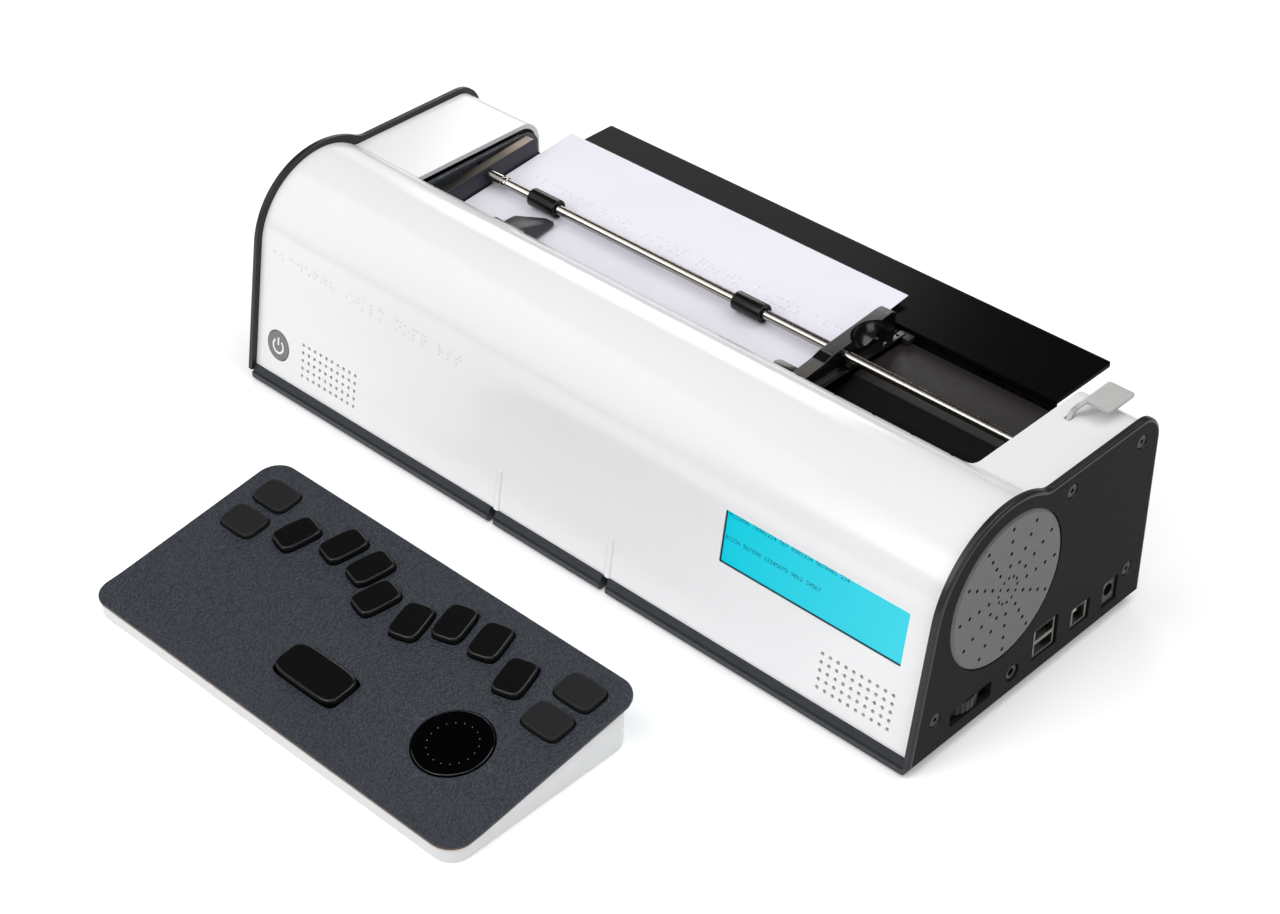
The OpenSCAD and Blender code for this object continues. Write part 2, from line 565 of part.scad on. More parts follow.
// cradle on the key board, cross with four trunnions, and the disc that tips on it
module nav_cradle() color([0.08, 0.08, 0.085]) place() on_kb() translate([nav_pos[0], nav_pos[1], 0]) difference() {
  for (a = [-1, 1]) translate([a * 7.4 - 1.2, -2.2, -8]) cube([2.4, 4.4, 4.3]);
  translate([0, 0, nav_z]) rotate([0, 90, 0]) cylinder(d = 2.3, h = 30, center = true, $fn = 32);
}
module nav_gimbal() color([0.3, 0.3, 0.31]) place() on_kb() translate([nav_pos[0], nav_pos[1], nav_z]) {
  rotate([0, 90, 0]) cylinder(d = 2, h = 17.2, center = true, $fn = 32);
  rotate([90, 0, 0]) cylinder(d = 2, h = 17.2, center = true, $fn = 32);
  cube([4.4, 4.4, 2.6], center = true);
}
module nav_disc() color([0.015, 0.015, 0.017]) place() on_kb() translate([nav_pos[0], nav_pos[1], 0]) difference() {
  union() {
    translate([0, 0, -2.6]) cylinder(d = nav_d, h = 3.2, $fn = 96);
    for (b = [-1, 1]) translate([-2.2, b * 7.4 - 1.2, -7.1]) cube([4.4, 2.4, 4.6]);
  }
  translate([0, 0, nav_z]) rotate([90, 0, 0]) cylinder(d = 2.3, h = 30, center = true, $fn = 32);
  translate([0, 0, 0]) cylinder(d = nav_d * 0.66, h = 4, $fn = 96);
}

base_tray();
top_cover();
end_plate_left();
end_plate_right();
speaker_disc();
lcd_panel();
lcd_board();
speaker_left();
speaker_right();
main_board();
usb_a_port();
usb_b_port();
dc_inlet();
audio_jack();
volume_pot();
volume_wheel();
battery_pack();
rubber_feet();
plate_screws();
frame_left();
frame_right();
paper_bed();
paper_guide_left();
paper_guide_right();
paper_shelf();
bail_rod();
bail_roller_left();
bail_roller_right();
rail_front();
rail_rear();
embossing_head();
feed_motor();
carriage_motor();
feed_shaft();
feed_tyres();
paper_sheet();
release_lever();
power_button();
kb_base();
kb_top();
kb_board();
kb_domes();
kb_feet();
key_dot_1();
key_dot_2();
key_dot_3();
key_dot_4();
key_dot_5();
key_dot_6();
key_dot_7();
key_dot_8();
key_func_1();
key_func_2();
key_func_3();
key_func_4();
key_space();
nav_cradle();
nav_gimbal();
nav_disc();
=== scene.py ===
import bpy, bmesh, math
from mathutils import Vector, Matrix


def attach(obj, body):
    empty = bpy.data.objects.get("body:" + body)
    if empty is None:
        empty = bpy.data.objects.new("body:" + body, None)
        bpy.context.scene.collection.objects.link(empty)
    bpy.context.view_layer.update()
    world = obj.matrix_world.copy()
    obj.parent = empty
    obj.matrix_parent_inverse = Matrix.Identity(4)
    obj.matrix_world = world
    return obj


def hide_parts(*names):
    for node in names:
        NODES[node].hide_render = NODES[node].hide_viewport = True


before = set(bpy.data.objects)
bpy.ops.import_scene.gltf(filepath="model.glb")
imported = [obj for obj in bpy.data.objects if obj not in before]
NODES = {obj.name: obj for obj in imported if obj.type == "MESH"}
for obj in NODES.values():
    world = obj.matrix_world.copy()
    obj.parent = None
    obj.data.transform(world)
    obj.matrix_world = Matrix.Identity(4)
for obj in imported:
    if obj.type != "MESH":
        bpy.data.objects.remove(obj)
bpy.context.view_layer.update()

SC = bpy.context.scene

# ------------------------------------------------------------------ frame
# Drawing millimetres (x along, y back, z up, z = 0 at the foot of the end
# plates) to the row frame in metres.
XO, YO, ZO = -0.25, -15.97, 6.0


def V(x, y, z):
    return Vector(((x + XO) / 1000.0, (y + YO) / 1000.0, (z + ZO) / 1000.0))


LEAN = math.radians(9.65)
FC, FS, FT = math.cos(LEAN), math.sin(LEAN), math.tan(LEAN)
CROWN, DECK, REAR, DEP = 47.2, 102.0, 15.0, 167.0
COV, WALL = 3.0, 2.5
CY, CZ = 58.5, 62.5
XP = 436.3 / 2
XI = XP - 3.5
SEAM = 2.5
OPEN_L, OPEN_R, LIP = -163.0, 181.5, 78.7
COV_L = -167.2
ROD_Y, ROD_Z = 119.0, 88.0
SHEET_K = 0.1
SHEET_A = math.atan(SHEET_K)
TILT = math.radians(8.47)
KX, KY, KZ = -3.6, -112.6, 11.5
KW, KD, KR = 242.4, 115.4, 12.0
LEV_Y, LEV_Z = 145.5, 90.5


def sheet_z(y):
    return 82.35 + SHEET_K * (y - ROD_Y)


def front_m():
    """Matrix of the cover's front face: x along, y up the slope, z outward, in mm."""
    def at(x, s):
        o = V(x, COV / FC + s * FS, s * FC)
        r = Matrix.Rotation(math.pi / 2 - LEAN, 4, 'X')
        return Matrix.Translation(o) @ r @ Matrix.Scale(0.001, 4)
    return at


ON_FRONT = front_m()
KB_M = Matrix.Translation(V(KX, KY, KZ)) @ Matrix.Rotation(TILT, 4, 'X') @ Matrix.Scale(0.001, 4)

# ------------------------------------------------------------------ mesh kit


def link(ob):
    SC.collection.objects.link(ob)
    return ob


def obj_from(name, verts, faces, mats=(), smooth=True, angle=35.0, mi=None):
    me = bpy.data.meshes.new(name)
    me.from_pydata([tuple(v) for v in verts], [], faces)
    me.validate()
    me.update()
    ob = link(bpy.data.objects.new(name, me))
    for m in mats:
        me.materials.append(m)
    if mi is not None:
        for p, k in zip(me.polygons, mi):
            p.material_index = k
    fix_normals(me)
    shade(me, smooth, angle)
    return ob


def fix_normals(me):
    bm = bmesh.new()
    bm.from_mesh(me)
    bmesh.ops.recalc_face_normals(bm, faces=bm.faces)
    bm.to_mesh(me)
    bm.free()


def shade(me, smooth=True, angle=35.0):
    for p in me.polygons:
        p.use_smooth = smooth
    if smooth:
        me.set_sharp_from_angle(angle=math.radians(angle))


def from_bm(name, bm, mats=(), smooth=True, angle=35.0):
    bmesh.ops.recalc_face_normals(bm, faces=bm.faces)
    me = bpy.data.meshes.new(name)
    bm.to_mesh(me)
    bm.free()
    ob = link(bpy.data.objects.new(name, me))
    for m in mats:
        me.materials.append(m)
    shade(me, smooth, angle)
    return ob


def loft(rings, close_u=True, cap0=True, cap1=True):
    """Vertices and faces of a loft over rings with equal counts."""
    verts, faces = [], []
    n = len(rings[0])
    for r in rings:
        verts += list(r)
    for k in range(len(rings) - 1):
        a, b = k * n, (k + 1) * n
        for i in range(n if close_u else n - 1):
            j = (i + 1) % n
            faces.append((a + i, a + j, b + j, b + i))
    if cap0:
        faces.append(tuple(reversed(range(n))))
    if cap1:
        b = (len(rings) - 1) * n
        faces.append(tuple(range(b, b + n)))
    return verts, faces


def rrect(w, h, r, seg=6, cx=0.0, cy=0.0, rot=0.0):
    """Outline of a rounded rectangle, anticlockwise."""
    r = max(min(r, w / 2 - 1e-4, h / 2 - 1e-4), 1e-4)
    pts = []
    for sx, sy, a0 in ((1, 1, 0), (-1, 1, 90), (-1, -1, 180), (1, -1, 270)):
        for k in range(seg + 1):
            a = math.radians(a0 + 90.0 * k / seg)
            pts.append((sx * (w / 2 - r) + r * math.cos(a), sy * (h / 2 - r) + r * math.sin(a)))
    c, s = math.cos(rot), math.sin(rot)
    return [(cx + x * c - y * s, cy + x * s + y * c) for x, y in pts]


def apply_mods(ob):
    dg = bpy.context.evaluated_depsgraph_get()
    me = bpy.data.meshes.new_from_object(ob.evaluated_get(dg), preserve_all_data_layers=True, depsgraph=dg)
    old = ob.data
    ob.modifiers.clear()
    ob.data = me
    bpy.data.meshes.remove(old)
    return ob


def cut(ob, cutters, angle=35.0, bevel=0.0, bev_angle=50.0, seg=2):
    """Subtracts closed meshes given as (verts, faces) lists."""
    bm = bmesh.new()
    for vs, fs in cutters:
        vv = [bm.verts.new(v) for v in vs]
        for f in fs:
            bm.faces.new([vv[i] for i in f])
    bmesh.ops.recalc_face_normals(bm, faces=bm.faces)
    me = bpy.data.meshes.new(ob.name + ".cut")
    bm.to_mesh(me)
    bm.free()
    c = link(bpy.data.objects.new(ob.name + ".cut", me))
    md = ob.modifiers.new("cut", 'BOOLEAN')
    md.operation = 'DIFFERENCE'
    md.solver = 'EXACT'
    md.object = c
    apply_mods(ob)
    bpy.data.objects.remove(c)
    if bevel > 0:
        bev(ob, bevel, bev_angle, seg)
    shade(ob.data, True, angle)
    return ob


def bev(ob, width, angle=40.0, seg=2):
    md = ob.modifiers.new("bevel", 'BEVEL')
    md.width = width / 1000.0
    md.segments = seg
    md.limit_method = 'ANGLE'
    md.angle_limit = math.radians(angle)
    md.use_clamp_overlap = True
    md.miter_outer = 'MITER_ARC'
    apply_mods(ob)
    return ob


def wn(ob):
    md = ob.modifiers.new("wn", 'WEIGHTED_NORMAL')
    md.keep_sharp = True
    md.weight = 60
    return ob


def prism_x(pts, x0, x1):
    """Closed solid: y-z outline run along x (drawing mm)."""
    return loft([[V(x0, y, z) for y, z in pts], [V(x1, y, z) for y, z in pts]])


def prism_y(pts, y0, y1):
    """Closed solid: x-z outline run along y."""
    return loft([[V(x, y0, z) for x, z in pts], [V(x, y1, z) for x, z in pts]])


def prism_z(pts, z0, z1):
    return loft([[V(x, y, z0) for x, y in pts], [V(x, y, z1) for x, y in pts]])


def prism_m(pts, z0, z1, m):
    """Closed solid: outline in a local frame m, between local heights."""
    return loft([[m @ Vector((x, y, z0)) for x, y in pts], [m @ Vector((x, y, z1)) for x, y in pts]])


def boxv(x0, x1, y0, y1, z0, z1):
    return prism_z([(x0, y0), (x1, y0), (x1, y1), (x0, y1)], z0, z1)


def solid(name, parts, mats, bevel=0.4, seg=3, angle=35.0, bev_angle=30.0):
    """One piece from several closed parts, each with rounded edges."""
    bm_all = bmesh.new()
    for vs, fs in parts:
        bm = bmesh.new()
        vv = [bm.verts.new(v) for v in vs]
        for f in fs:
            bm.faces.new([vv[i] for i in f])
        bmesh.ops.recalc_face_normals(bm, faces=bm.faces)
        if bevel > 0:
            es = [e for e in bm.edges if len(e.link_faces) == 2 and e.calc_face_angle(0) > math.radians(bev_angle)]
            bmesh.ops.bevel(bm, geom=es, offset=bevel / 1000.0, segments=seg, profile=0.5, affect='EDGES', clamp_overlap=True)
        me = bpy.data.meshes.new("t")
        bm.to_mesh(me)
        bm.free()
        bm_all.from_mesh(me)
        bpy.data.meshes.remove(me)
    return from_bm(name, bm_all, mats, True, angle)


def lathe(name, prof, m, mats, seg=64, angle=35.0, mi=None):
    """Surface of revolution about local z. prof: (radius, height) pairs; ends on the axis close it."""
    verts, faces, mis = [], [], []
    rows = []
    for r, h in prof:
        if r < 1e-6:
            rows.append([len(verts)])
            verts.append(m @ Vector((0, 0, h)))
        else:
            row = []
            for k in range(seg):
                a = 2 * math.pi * k / seg
                row.append(len(verts))
                verts.append(m @ Vector((r * math.cos(a), r * math.sin(a), h)))
            rows.append(row)
    for q in range(len(rows) - 1):
        a, b = rows[q], rows[q + 1]
        for k in range(seg):
            j = (k + 1) % seg
            if len(a) == 1 and len(b) == 1:
                continue
            if len(a) == 1:
                faces.append((a[0], b[k], b[j]))
            elif len(b) == 1:
                faces.append((a[k], a[j], b[0]))
            else:
                faces.append((a[k], a[j], b[j], b[k]))
            mis.append(mi[q] if mi else 0)
    return obj_from(name, verts, faces, mats, True, angle, mis)


def axis_x(x, y, z):
    """Local z along +x, in mm."""
    return Matrix.Translation(V(x, y, z)) @ Matrix.Rotation(math.pi / 2, 4, 'Y') @ Matrix.Scale(0.001, 4)


def axis_z(x, y, z):
    return Matrix.Translation(V(x, y, z)) @ Matrix.Scale(0.001, 4)


def domes(name, mats_list, r, h, mats, seg=10):
    """Many low domes in one mesh; mats_list holds local frames in mm."""
    verts, faces = [], []
    rings = [(1.0, -0.12), (0.97, 0.18), (0.82, 0.58), (0.5, 0.88)]
    for m in mats_list:
        base = len(verts)
        for q, hh in rings:
            for k in range(seg):
                a = 2 * math.pi * k / seg
                verts.append(m @ Vector((r * q * math.cos(a), r * q * math.sin(a), h * hh)))
        verts.append(m @ Vector((0, 0, h)))
        for q in range(len(rings) - 1):
            for k in range(seg):
                j = (k + 1) % seg
                faces.append((base + q * seg + k, base + q * seg + j, base + (q + 1) * seg + j, base + (q + 1) * seg + k))
        t = base + len(rings) * seg
        q = len(rings) - 1
        for k in range(seg):
            faces.append((base + q * seg + k, base + q * seg + (k + 1) % seg, t))
        faces.append(tuple(base + k for k in reversed(range(seg))))
    return obj_from(name, verts, faces, mats, True, 60.0)


# ------------------------------------------------------------------ materials


def times(m, out):
    """Multiply a material's base colour by another output of its tree."""
    nt = m.node_tree
    b = nt.nodes['Principled BSDF']
    old = b.inputs['Base Color'].links[0].from_socket
    mx = nt.nodes.new('ShaderNodeMix')
    mx.data_type = 'RGBA'
    mx.blend_type = 'MULTIPLY'
    mx.inputs[0].default_value = 1.0
    nt.links.new(old, mx.inputs[6])
    nt.links.new(out, mx.inputs[7])
    nt.links.new(mx.outputs[2], b.inputs['Base Color'])


def along_y(m, y0, y1, stops):
    """Base colour times a ramp from the front of the piece to its back, y in drawing millimetres: here a painted
    highlight.
    """
    nt = m.node_tree
    tc = nt.nodes.new('ShaderNodeTexCoord')
    sep = nt.nodes.new('ShaderNodeSeparateXYZ')
    mr = nt.nodes.new('ShaderNodeMapRange')
    rp = nt.nodes.new('ShaderNodeValToRGB')
    mr.inputs['From Min'].default_value = V(0, y0, 0).y
    mr.inputs['From Max'].default_value = V(0, y1, 0).y
    nt.links.new(tc.outputs['Object'], sep.inputs['Vector'])
    nt.links.new(sep.outputs['Y'], mr.inputs['Value'])
    nt.links.new(mr.outputs['Result'], rp.inputs['Fac'])
    els = rp.color_ramp.elements
    els[0].position, els[1].position = stops[0][0], stops[-1][0]
    for t, c in stops[1:-1]:
        els.new(t)
    for e, (t, c) in zip(els, stops):
        e.color = (c[0], c[1], c[2], 1)
    times(m, rp.outputs['Color'])


def material(name, col, rough, metal=0.0, var=0.05, vscale=40.0, rvar=0.05, bump=0.0, bscale=2500.0,
             detail=3.0, coat=0.0, coat_rough=0.05, spec=0.5, grain=None, sheen=0.0, aniso=0.0, streak=False):
    """Principled surface with colour, roughness and bump that vary by noise in object space."""
    m = bpy.data.materials.new(name)
    m.use_nodes = True
    nt = m.node_tree
    nt.nodes.clear()
    N, L = nt.nodes.new, nt.links.new
    out = N('ShaderNodeOutputMaterial')
    b = N('ShaderNodeBsdfPrincipled')
    L(b.outputs['BSDF'], out.inputs['Surface'])
    tc = N('ShaderNodeTexCoord')
    n1 = N('ShaderNodeTexNoise')
    n1.inputs['Scale'].default_value = vscale
    n1.inputs['Detail'].default_value = detail
    if streak:
        # drawn out along x, as brushed or rubbed sheet
        mp = N('ShaderNodeMapping')
        mp.inputs['Scale'].default_value = (0.06, 1.0, 1.0)
        L(tc.outputs['Object'], mp.inputs['Vector'])
        L(mp.outputs['Vector'], n1.inputs['Vector'])
    else:
        L(tc.outputs['Object'], n1.inputs['Vector'])
    ramp = N('ShaderNodeValToRGB')
    lo = [max(0.0, c * (1 - var)) for c in col[:3]] + [1]
    hi = [min(1.0, c * (1 + var)) for c in col[:3]] + [1]
    ramp.color_ramp.elements[0].position = 0.3
    ramp.color_ramp.elements[0].color = lo
    ramp.color_ramp.elements[1].position = 0.7
    ramp.color_ramp.elements[1].color = hi
    L(n1.outputs['Fac'], ramp.inputs['Fac'])
    L(ramp.outputs['Color'], b.inputs['Base Color'])
    n2 = N('ShaderNodeTexNoise')
    n2.inputs['Scale'].default_value = vscale * 2.3
    n2.inputs['Detail'].default_value = 4.0
    L(tc.outputs['Object'], n2.inputs['Vector'])
    mr = N('ShaderNodeMapRange')
    mr.inputs['From Min'].default_value = 0.3
    mr.inputs['From Max'].default_value = 0.7
    mr.inputs['To Min'].default_value = max(0.02, rough - rvar)
    mr.inputs['To Max'].default_value = min(1.0, rough + rvar)
    L(n2.outputs['Fac'], mr.inputs['Value'])
    L(mr.outputs['Result'], b.inputs['Roughness'])
    b.inputs['Metallic'].default_value = metal
    b.inputs['Specular IOR Level'].default_value = spec
    b.inputs['Coat Weight'].default_value = coat
    b.inputs['Coat Roughness'].default_value = coat_rough
    b.inputs['Sheen Weight'].default_value = sheen
    b.inputs['Anisotropic'].default_value = aniso
    last = None
    if grain:
        # pebbled hide or moulded leather grain
        gs, gd = grain
        vo = N('ShaderNodeTexVoronoi')
        vo.feature = 'SMOOTH_F1'
        vo.inputs['Scale'].default_value = gs
        vo.inputs['Smoothness'].default_value = 0.6
        nw = N('ShaderNodeTexNoise')
        nw.inputs['Scale'].default_value = gs * 0.55
        nw.inputs['Detail'].default_value = 2.0
        L(tc.outputs['Object'], nw.inputs['Vector'])
        mx = N('ShaderNodeVectorMath')
        mx.operation = 'MULTIPLY_ADD'
        mx.inputs[1].default_value = (0.9 / gs, 0.9 / gs, 0.9 / gs)
        L(nw.outputs['Color'], mx.inputs[0])
        L(tc.outputs['Object'], mx.inputs[2])
        L(mx.outputs['Vector'], vo.inputs['Vector'])
        bp = N('ShaderNodeBump')
        bp.invert = True
        bp.inputs['Strength'].default_value = 0.85
        bp.inputs['Distance'].default_value = gd
        L(vo.outputs['Distance'], bp.inputs['Height'])
        last = bp
        # pebble tops are painted lighter, a painted highlight, and the creases between them darker, painted shade
        pebble_highlight_shade = N('ShaderNodeMapRange')
        pebble_highlight_shade.inputs['From Min'].default_value = 0.05
        pebble_highlight_shade.inputs['From Max'].default_value = 0.60
        pebble_highlight_shade.inputs['To Min'].default_value = 1.38
        pebble_highlight_shade.inputs['To Max'].default_value = 0.62
        L(vo.outputs['Distance'], pebble_highlight_shade.inputs['Value'])
        times(m, pebble_highlight_shade.outputs['Result'])
    if bump > 0:
        n3 = N('ShaderNodeTexNoise')
        n3.inputs['Scale'].default_value = bscale
        n3.inputs['Detail'].default_value = 4.0
        L(tc.outputs['Object'], n3.inputs['Vector'])
        bp = N('ShaderNodeBump')
        bp.inputs['Strength'].default_value = 0.6
        bp.inputs['Distance'].default_value = bump
        L(n3.outputs['Fac'], bp.inputs['Height'])
        if last:
            L(last.outputs['Normal'], bp.inputs['Normal'])
        last = bp
    if last:
        L(last.outputs['Normal'], b.inputs['Normal'])
    return m


M = {}
M['white'] = material('white_shell', (0.81, 0.81, 0.82), 0.15, var=0.010, vscale=9, rvar=0.015)
M['plate'] = material('plate_face', (0.0110, 0.0103, 0.0106), 0.60, var=0.30, vscale=1300, rvar=0.08, bump=0.00012, bscale=2600, spec=0.07)
M['rim'] = material('plate_rim', (0.0130, 0.0138, 0.0160), 0.34, var=0.06, vscale=120, rvar=0.03, spec=0.38)
M['base'] = material('base_black', (0.024, 0.027, 0.033), 0.38, var=0.08, vscale=150, rvar=0.06, bump=0.00002, bscale=3000, spec=0.35)
M['disc'] = material('disc_grey', (0.118, 0.116, 0.119), 0.46, var=0.06, vscale=500, rvar=0.05, bump=0.00003, bscale=4000, spec=0.35)
# near black of the speakers, also the painted shade on the walls and bottoms of the blind grille holes
M['hole'] = material('speaker_black_and_hole_painted_shade', (0.006, 0.006, 0.007), 0.8, var=0.2, vscale=300)
M['gasket'] = material('gasket_navy', (0.006, 0.018, 0.035), 0.5, var=0.1, vscale=200)
M['bed'] = material('bed_black', (0.010, 0.010, 0.0108), 0.42, var=0.18, vscale=220, rvar=0.07, bump=0.00003, bscale=3500)
M['shelf'] = material('shelf_black', (0.0034, 0.0029, 0.0029), 0.19, var=0.06, vscale=400, rvar=0.02, bump=0.000003, bscale=4000, spec=0.019)
M['shelf'].node_tree.nodes['Principled BSDF'].inputs['Specular Tint'].default_value = (1.0, 0.87, 0.86, 1.0)
M['gloss'] = material('guide_gloss', (0.0048, 0.0046, 0.0050), 0.20, var=0.12, vscale=120, rvar=0.05, bump=0.00001, bscale=1800)
M['slateblk'] = material('guide_slate', (0.016, 0.017, 0.021), 0.34, var=0.12, vscale=160, rvar=0.06, bump=0.00002, bscale=3000)
M['rod'] = material('rod_steel', (0.385, 0.362, 0.336), 0.20, metal=1.0, var=0.05, vscale=60, rvar=0.02)
M['steel'] = material('sheet_steel', (0.50, 0.505, 0.51), 0.34, metal=1.0, var=0.08, vscale=90, rvar=0.08, bump=0.00001, bscale=4000)
M['rubber'] = material('rubber_black', (0.010, 0.010, 0.0105), 0.35, var=0.15, vscale=260, rvar=0.08, bump=0.00002, bscale=4000)
M['lever'] = material('lever_grey', (0.47, 0.465, 0.455), 0.38, var=0.05, vscale=150, rvar=0.06, bump=0.00002, bscale=5000, spec=0.5)
M['paper'] = material('paper_white', (0.78, 0.775, 0.845), 0.75, var=0.018, vscale=30, rvar=0.06, bump=0.00004, bscale=2600, detail=6, spec=0.25)
M['slate'] = material('kb_leather', (0.0340, 0.0392, 0.0515), 0.48, var=0.05, vscale=300, rvar=0.06, bump=0.00002, bscale=5200, grain=(900.0, 0.0007), spec=0.32)
M['slate_edge'] = material('kb_edge', (0.020, 0.023, 0.027), 0.40, var=0.1, vscale=300, bump=0.00002)
M['key'] = material('key_gloss', (0.0038, 0.0037, 0.0039), 0.26, var=0.05, vscale=700, rvar=0.015, spec=0.36)
M['keym'] = material('key_soft', (0.0095, 0.0092, 0.0104), 0.55, var=0.10, vscale=320, rvar=0.06, bump=0.00003, bscale=5200, spec=0.25)
M['nav'] = material('nav_gloss', (0.0010, 0.0010, 0.0014), 0.06, var=0.1, vscale=300, rvar=0.01, spec=0.5)
M['grey'] = material('power_grey', (0.165, 0.164, 0.169), 0.42, var=0.05, vscale=300, rvar=0.05, bump=0.00002)
M['mark'] = material('mark_white', (0.82, 0.82, 0.83), 0.4, var=0.02, vscale=300)
M['kbwhite'] = material('kb_white', (0.68, 0.68, 0.685), 0.26, var=0.010, vscale=12, rvar=0.02)
M['tin'] = material('connector_tin', (0.21, 0.20, 0.185), 0.36, metal=1.0, var=0.06, vscale=200, rvar=0.04)
M['blackpl'] = material('connector_black', (0.008, 0.008, 0.009), 0.4, var=0.15, vscale=200, bump=0.00002)
M['ivory'] = material('connector_ivory', (0.62, 0.60, 0.55), 0.45, var=0.04, vscale=200)
M['brass'] = material('contact_brass', (0.75, 0.55, 0.25), 0.25, metal=1.0, var=0.08, vscale=300)
M['pcb'] = material('board_green', (0.012, 0.075, 0.032), 0.4, var=0.2, vscale=260, bump=0.00005, bscale=900)
M['batt'] = material('battery_wrap', (0.02, 0.03, 0.09), 0.35, var=0.12, vscale=120)
M['motor'] = material('motor_can', (0.03, 0.03, 0.034), 0.38, metal=0.6, var=0.1, vscale=160)
M['dome'] = material('dome_silicone', (0.25, 0.25, 0.26), 0.6, var=0.08, vscale=260)
M['screw'] = material('screw_black', (0.020, 0.020, 0.022), 0.36, metal=0.7, var=0.12, vscale=500)
# warm colour of the keyboard seam strip: a painted reflection
M['seam'] = material('seam_warm_painted_reflection', (0.60, 0.47, 0.40), 0.5, var=0.06, vscale=200)
M['wheel'] = material('wheel_black', (0.0050, 0.0048, 0.0050), 0.38, var=0.1, vscale=300, rvar=0.04, spec=0.25)
# near-black matt sheet for the painted shade behind the bed
M['liner'] = material('liner_painted_shade', (0.0045, 0.0043, 0.0045), 0.7, var=0.2, vscale=300, spec=0.1)
M['tick'] = material('tick_blue', (0.055, 0.070, 0.090), 0.45, var=0.08, vscale=300, spec=0.4)
M['navdot'] = material('nav_dots', (0.22, 0.22, 0.225), 0.5, var=0.06, vscale=300)
M['roller'] = material('roller_black', (0.0036, 0.0034, 0.0034), 0.27, var=0.06, vscale=200, rvar=0.01, spec=0.30)
M['slatedark'] = material('frame_slate', (0.044, 0.048, 0.056), 0.42, var=0.45, vscale=420, rvar=0.10, bump=0.00002, bscale=2500, spec=0.5)
M['slateface'] = material('guide_face', (0.0250, 0.0250, 0.0350), 0.40, var=0.10, vscale=150, rvar=0.06, bump=0.00002, bscale=3000, spec=0.4)
# guide top: tan tint scaled by a ramp along y, dark at the front and bright near the back: a painted highlight
M['bronze'] = material('guide_bronze', (0.30, 0.245, 0.195), 0.34, var=0.20, vscale=60, rvar=0.06, bump=0.00001, bscale=2500, spec=0.5)
along_y(M['bronze'], 84, 152, [(0.0, (.055, .055, .055)), (0.30, (.07, .07, .07)), (0.42, (.17, .16, .15)), (0.68, (.36, .35, .34)), (0.86, (.95, .92, .90)), (0.97, (.80, .78, .75)), (1.0, (.20, .20, .20))])
# brown tint on the upper facets of a black wedge: a painted reflection
M['nosetop'] = material('nose_brown_painted_reflection', (0.022, 0.019, 0.0165), 0.36, var=0.12, vscale=130, rvar=0.06, bump=0.00002, bscale=3000, spec=0.4)
# brown-grey top of a black glossy part: a painted reflection
M['bartop'] = material('guide_top_painted_reflection', (0.066, 0.060, 0.053), 0.34, var=0.10, vscale=130, rvar=0.06, bump=0.00002, bscale=3000, spec=0.45)
# copies of the bed's finish by face: the slope much darker with speckles, painted shade; the flat tops brown-grey and
# lighter, painted light
M['bedslope'] = material('bed_slope_painted_shade', (0.0030, 0.0029, 0.0034), 0.55, var=0.55, vscale=900, rvar=0.10, bump=0.00006, bscale=1500, spec=0.12)
M['bedflat'] = material('bed_flat_painted_light', (0.0180, 0.0155, 0.0145), 0.46, var=0.12, vscale=70, rvar=0.07, bump=0.00001, bscale=2600, spec=0.20, streak=True)


def lcd_material():
    m = bpy.data.materials.new('lcd_glow')
    m.use_nodes = True
    nt = m.node_tree
    nt.nodes.clear()
    N, L = nt.nodes.new, nt.links.new
    out = N('ShaderNodeOutputMaterial')
    b = N('ShaderNodeBsdfPrincipled')
    L(b.outputs['BSDF'], out.inputs['Surface'])
    tc = N('ShaderNodeTexCoord')
    sep = N('ShaderNodeSeparateXYZ')
    L(tc.outputs['Object'], sep.inputs['Vector'])
    mr = N('ShaderNodeMapRange')
    mr.inputs['From Min'].default_value = 0.100
    mr.inputs['From Max'].default_value = 0.203
    L(sep.outputs['X'], mr.inputs['Value'])
    nz = N('ShaderNodeTexNoise')
    nz.inputs['Scale'].default_value = 35
    L(tc.outputs['Object'], nz.inputs['Vector'])
    ad = N('ShaderNodeMath')
    ad.operation = 'MULTIPLY_ADD'
    ad.inputs[1].default_value = 0.12
    L(nz.outputs['Fac'], ad.inputs[0])
    L(mr.outputs['Result'], ad.inputs[2])
    rp = N('ShaderNodeValToRGB')
    e = rp.color_ramp.elements
    e[0].position, e[0].color = 0.0, (0.0, 0.60, 0.745, 1)
    e[1].position, e[1].color = 1.0, (0.060, 0.685, 0.825, 1)
    L(ad.outputs['Value'], rp.inputs['Fac'])
    rq = N('ShaderNodeValToRGB')
    e = rq.color_ramp.elements
    e[0].position, e[0].color = 0.0, (0.0, 0.030, 0.040, 1)
    e[1].position, e[1].color = 1.0, (0.004, 0.045, 0.055, 1)
    L(ad.outputs['Value'], rq.inputs['Fac'])
    L(rq.outputs['Color'], b.inputs['Base Color'])
    L(rp.outputs['Color'], b.inputs['Emission Color'])
    b.inputs['Emission Strength'].default_value = 0.95
    b.inputs['Roughness'].default_value = 0.35
    b.inputs['Specular IOR Level'].default_value = 0.03
    return m


M['lcd'] = lcd_material()
M['ink'] = material('lcd_ink', (0.001, 0.035, 0.070), 0.3, var=0.1, vscale=300, spec=0.1)


def paint(node, *names):
    ob = NODES[node]
    ob.data.materials.clear()
    for n in names:
        ob.data.materials.append(M[n])


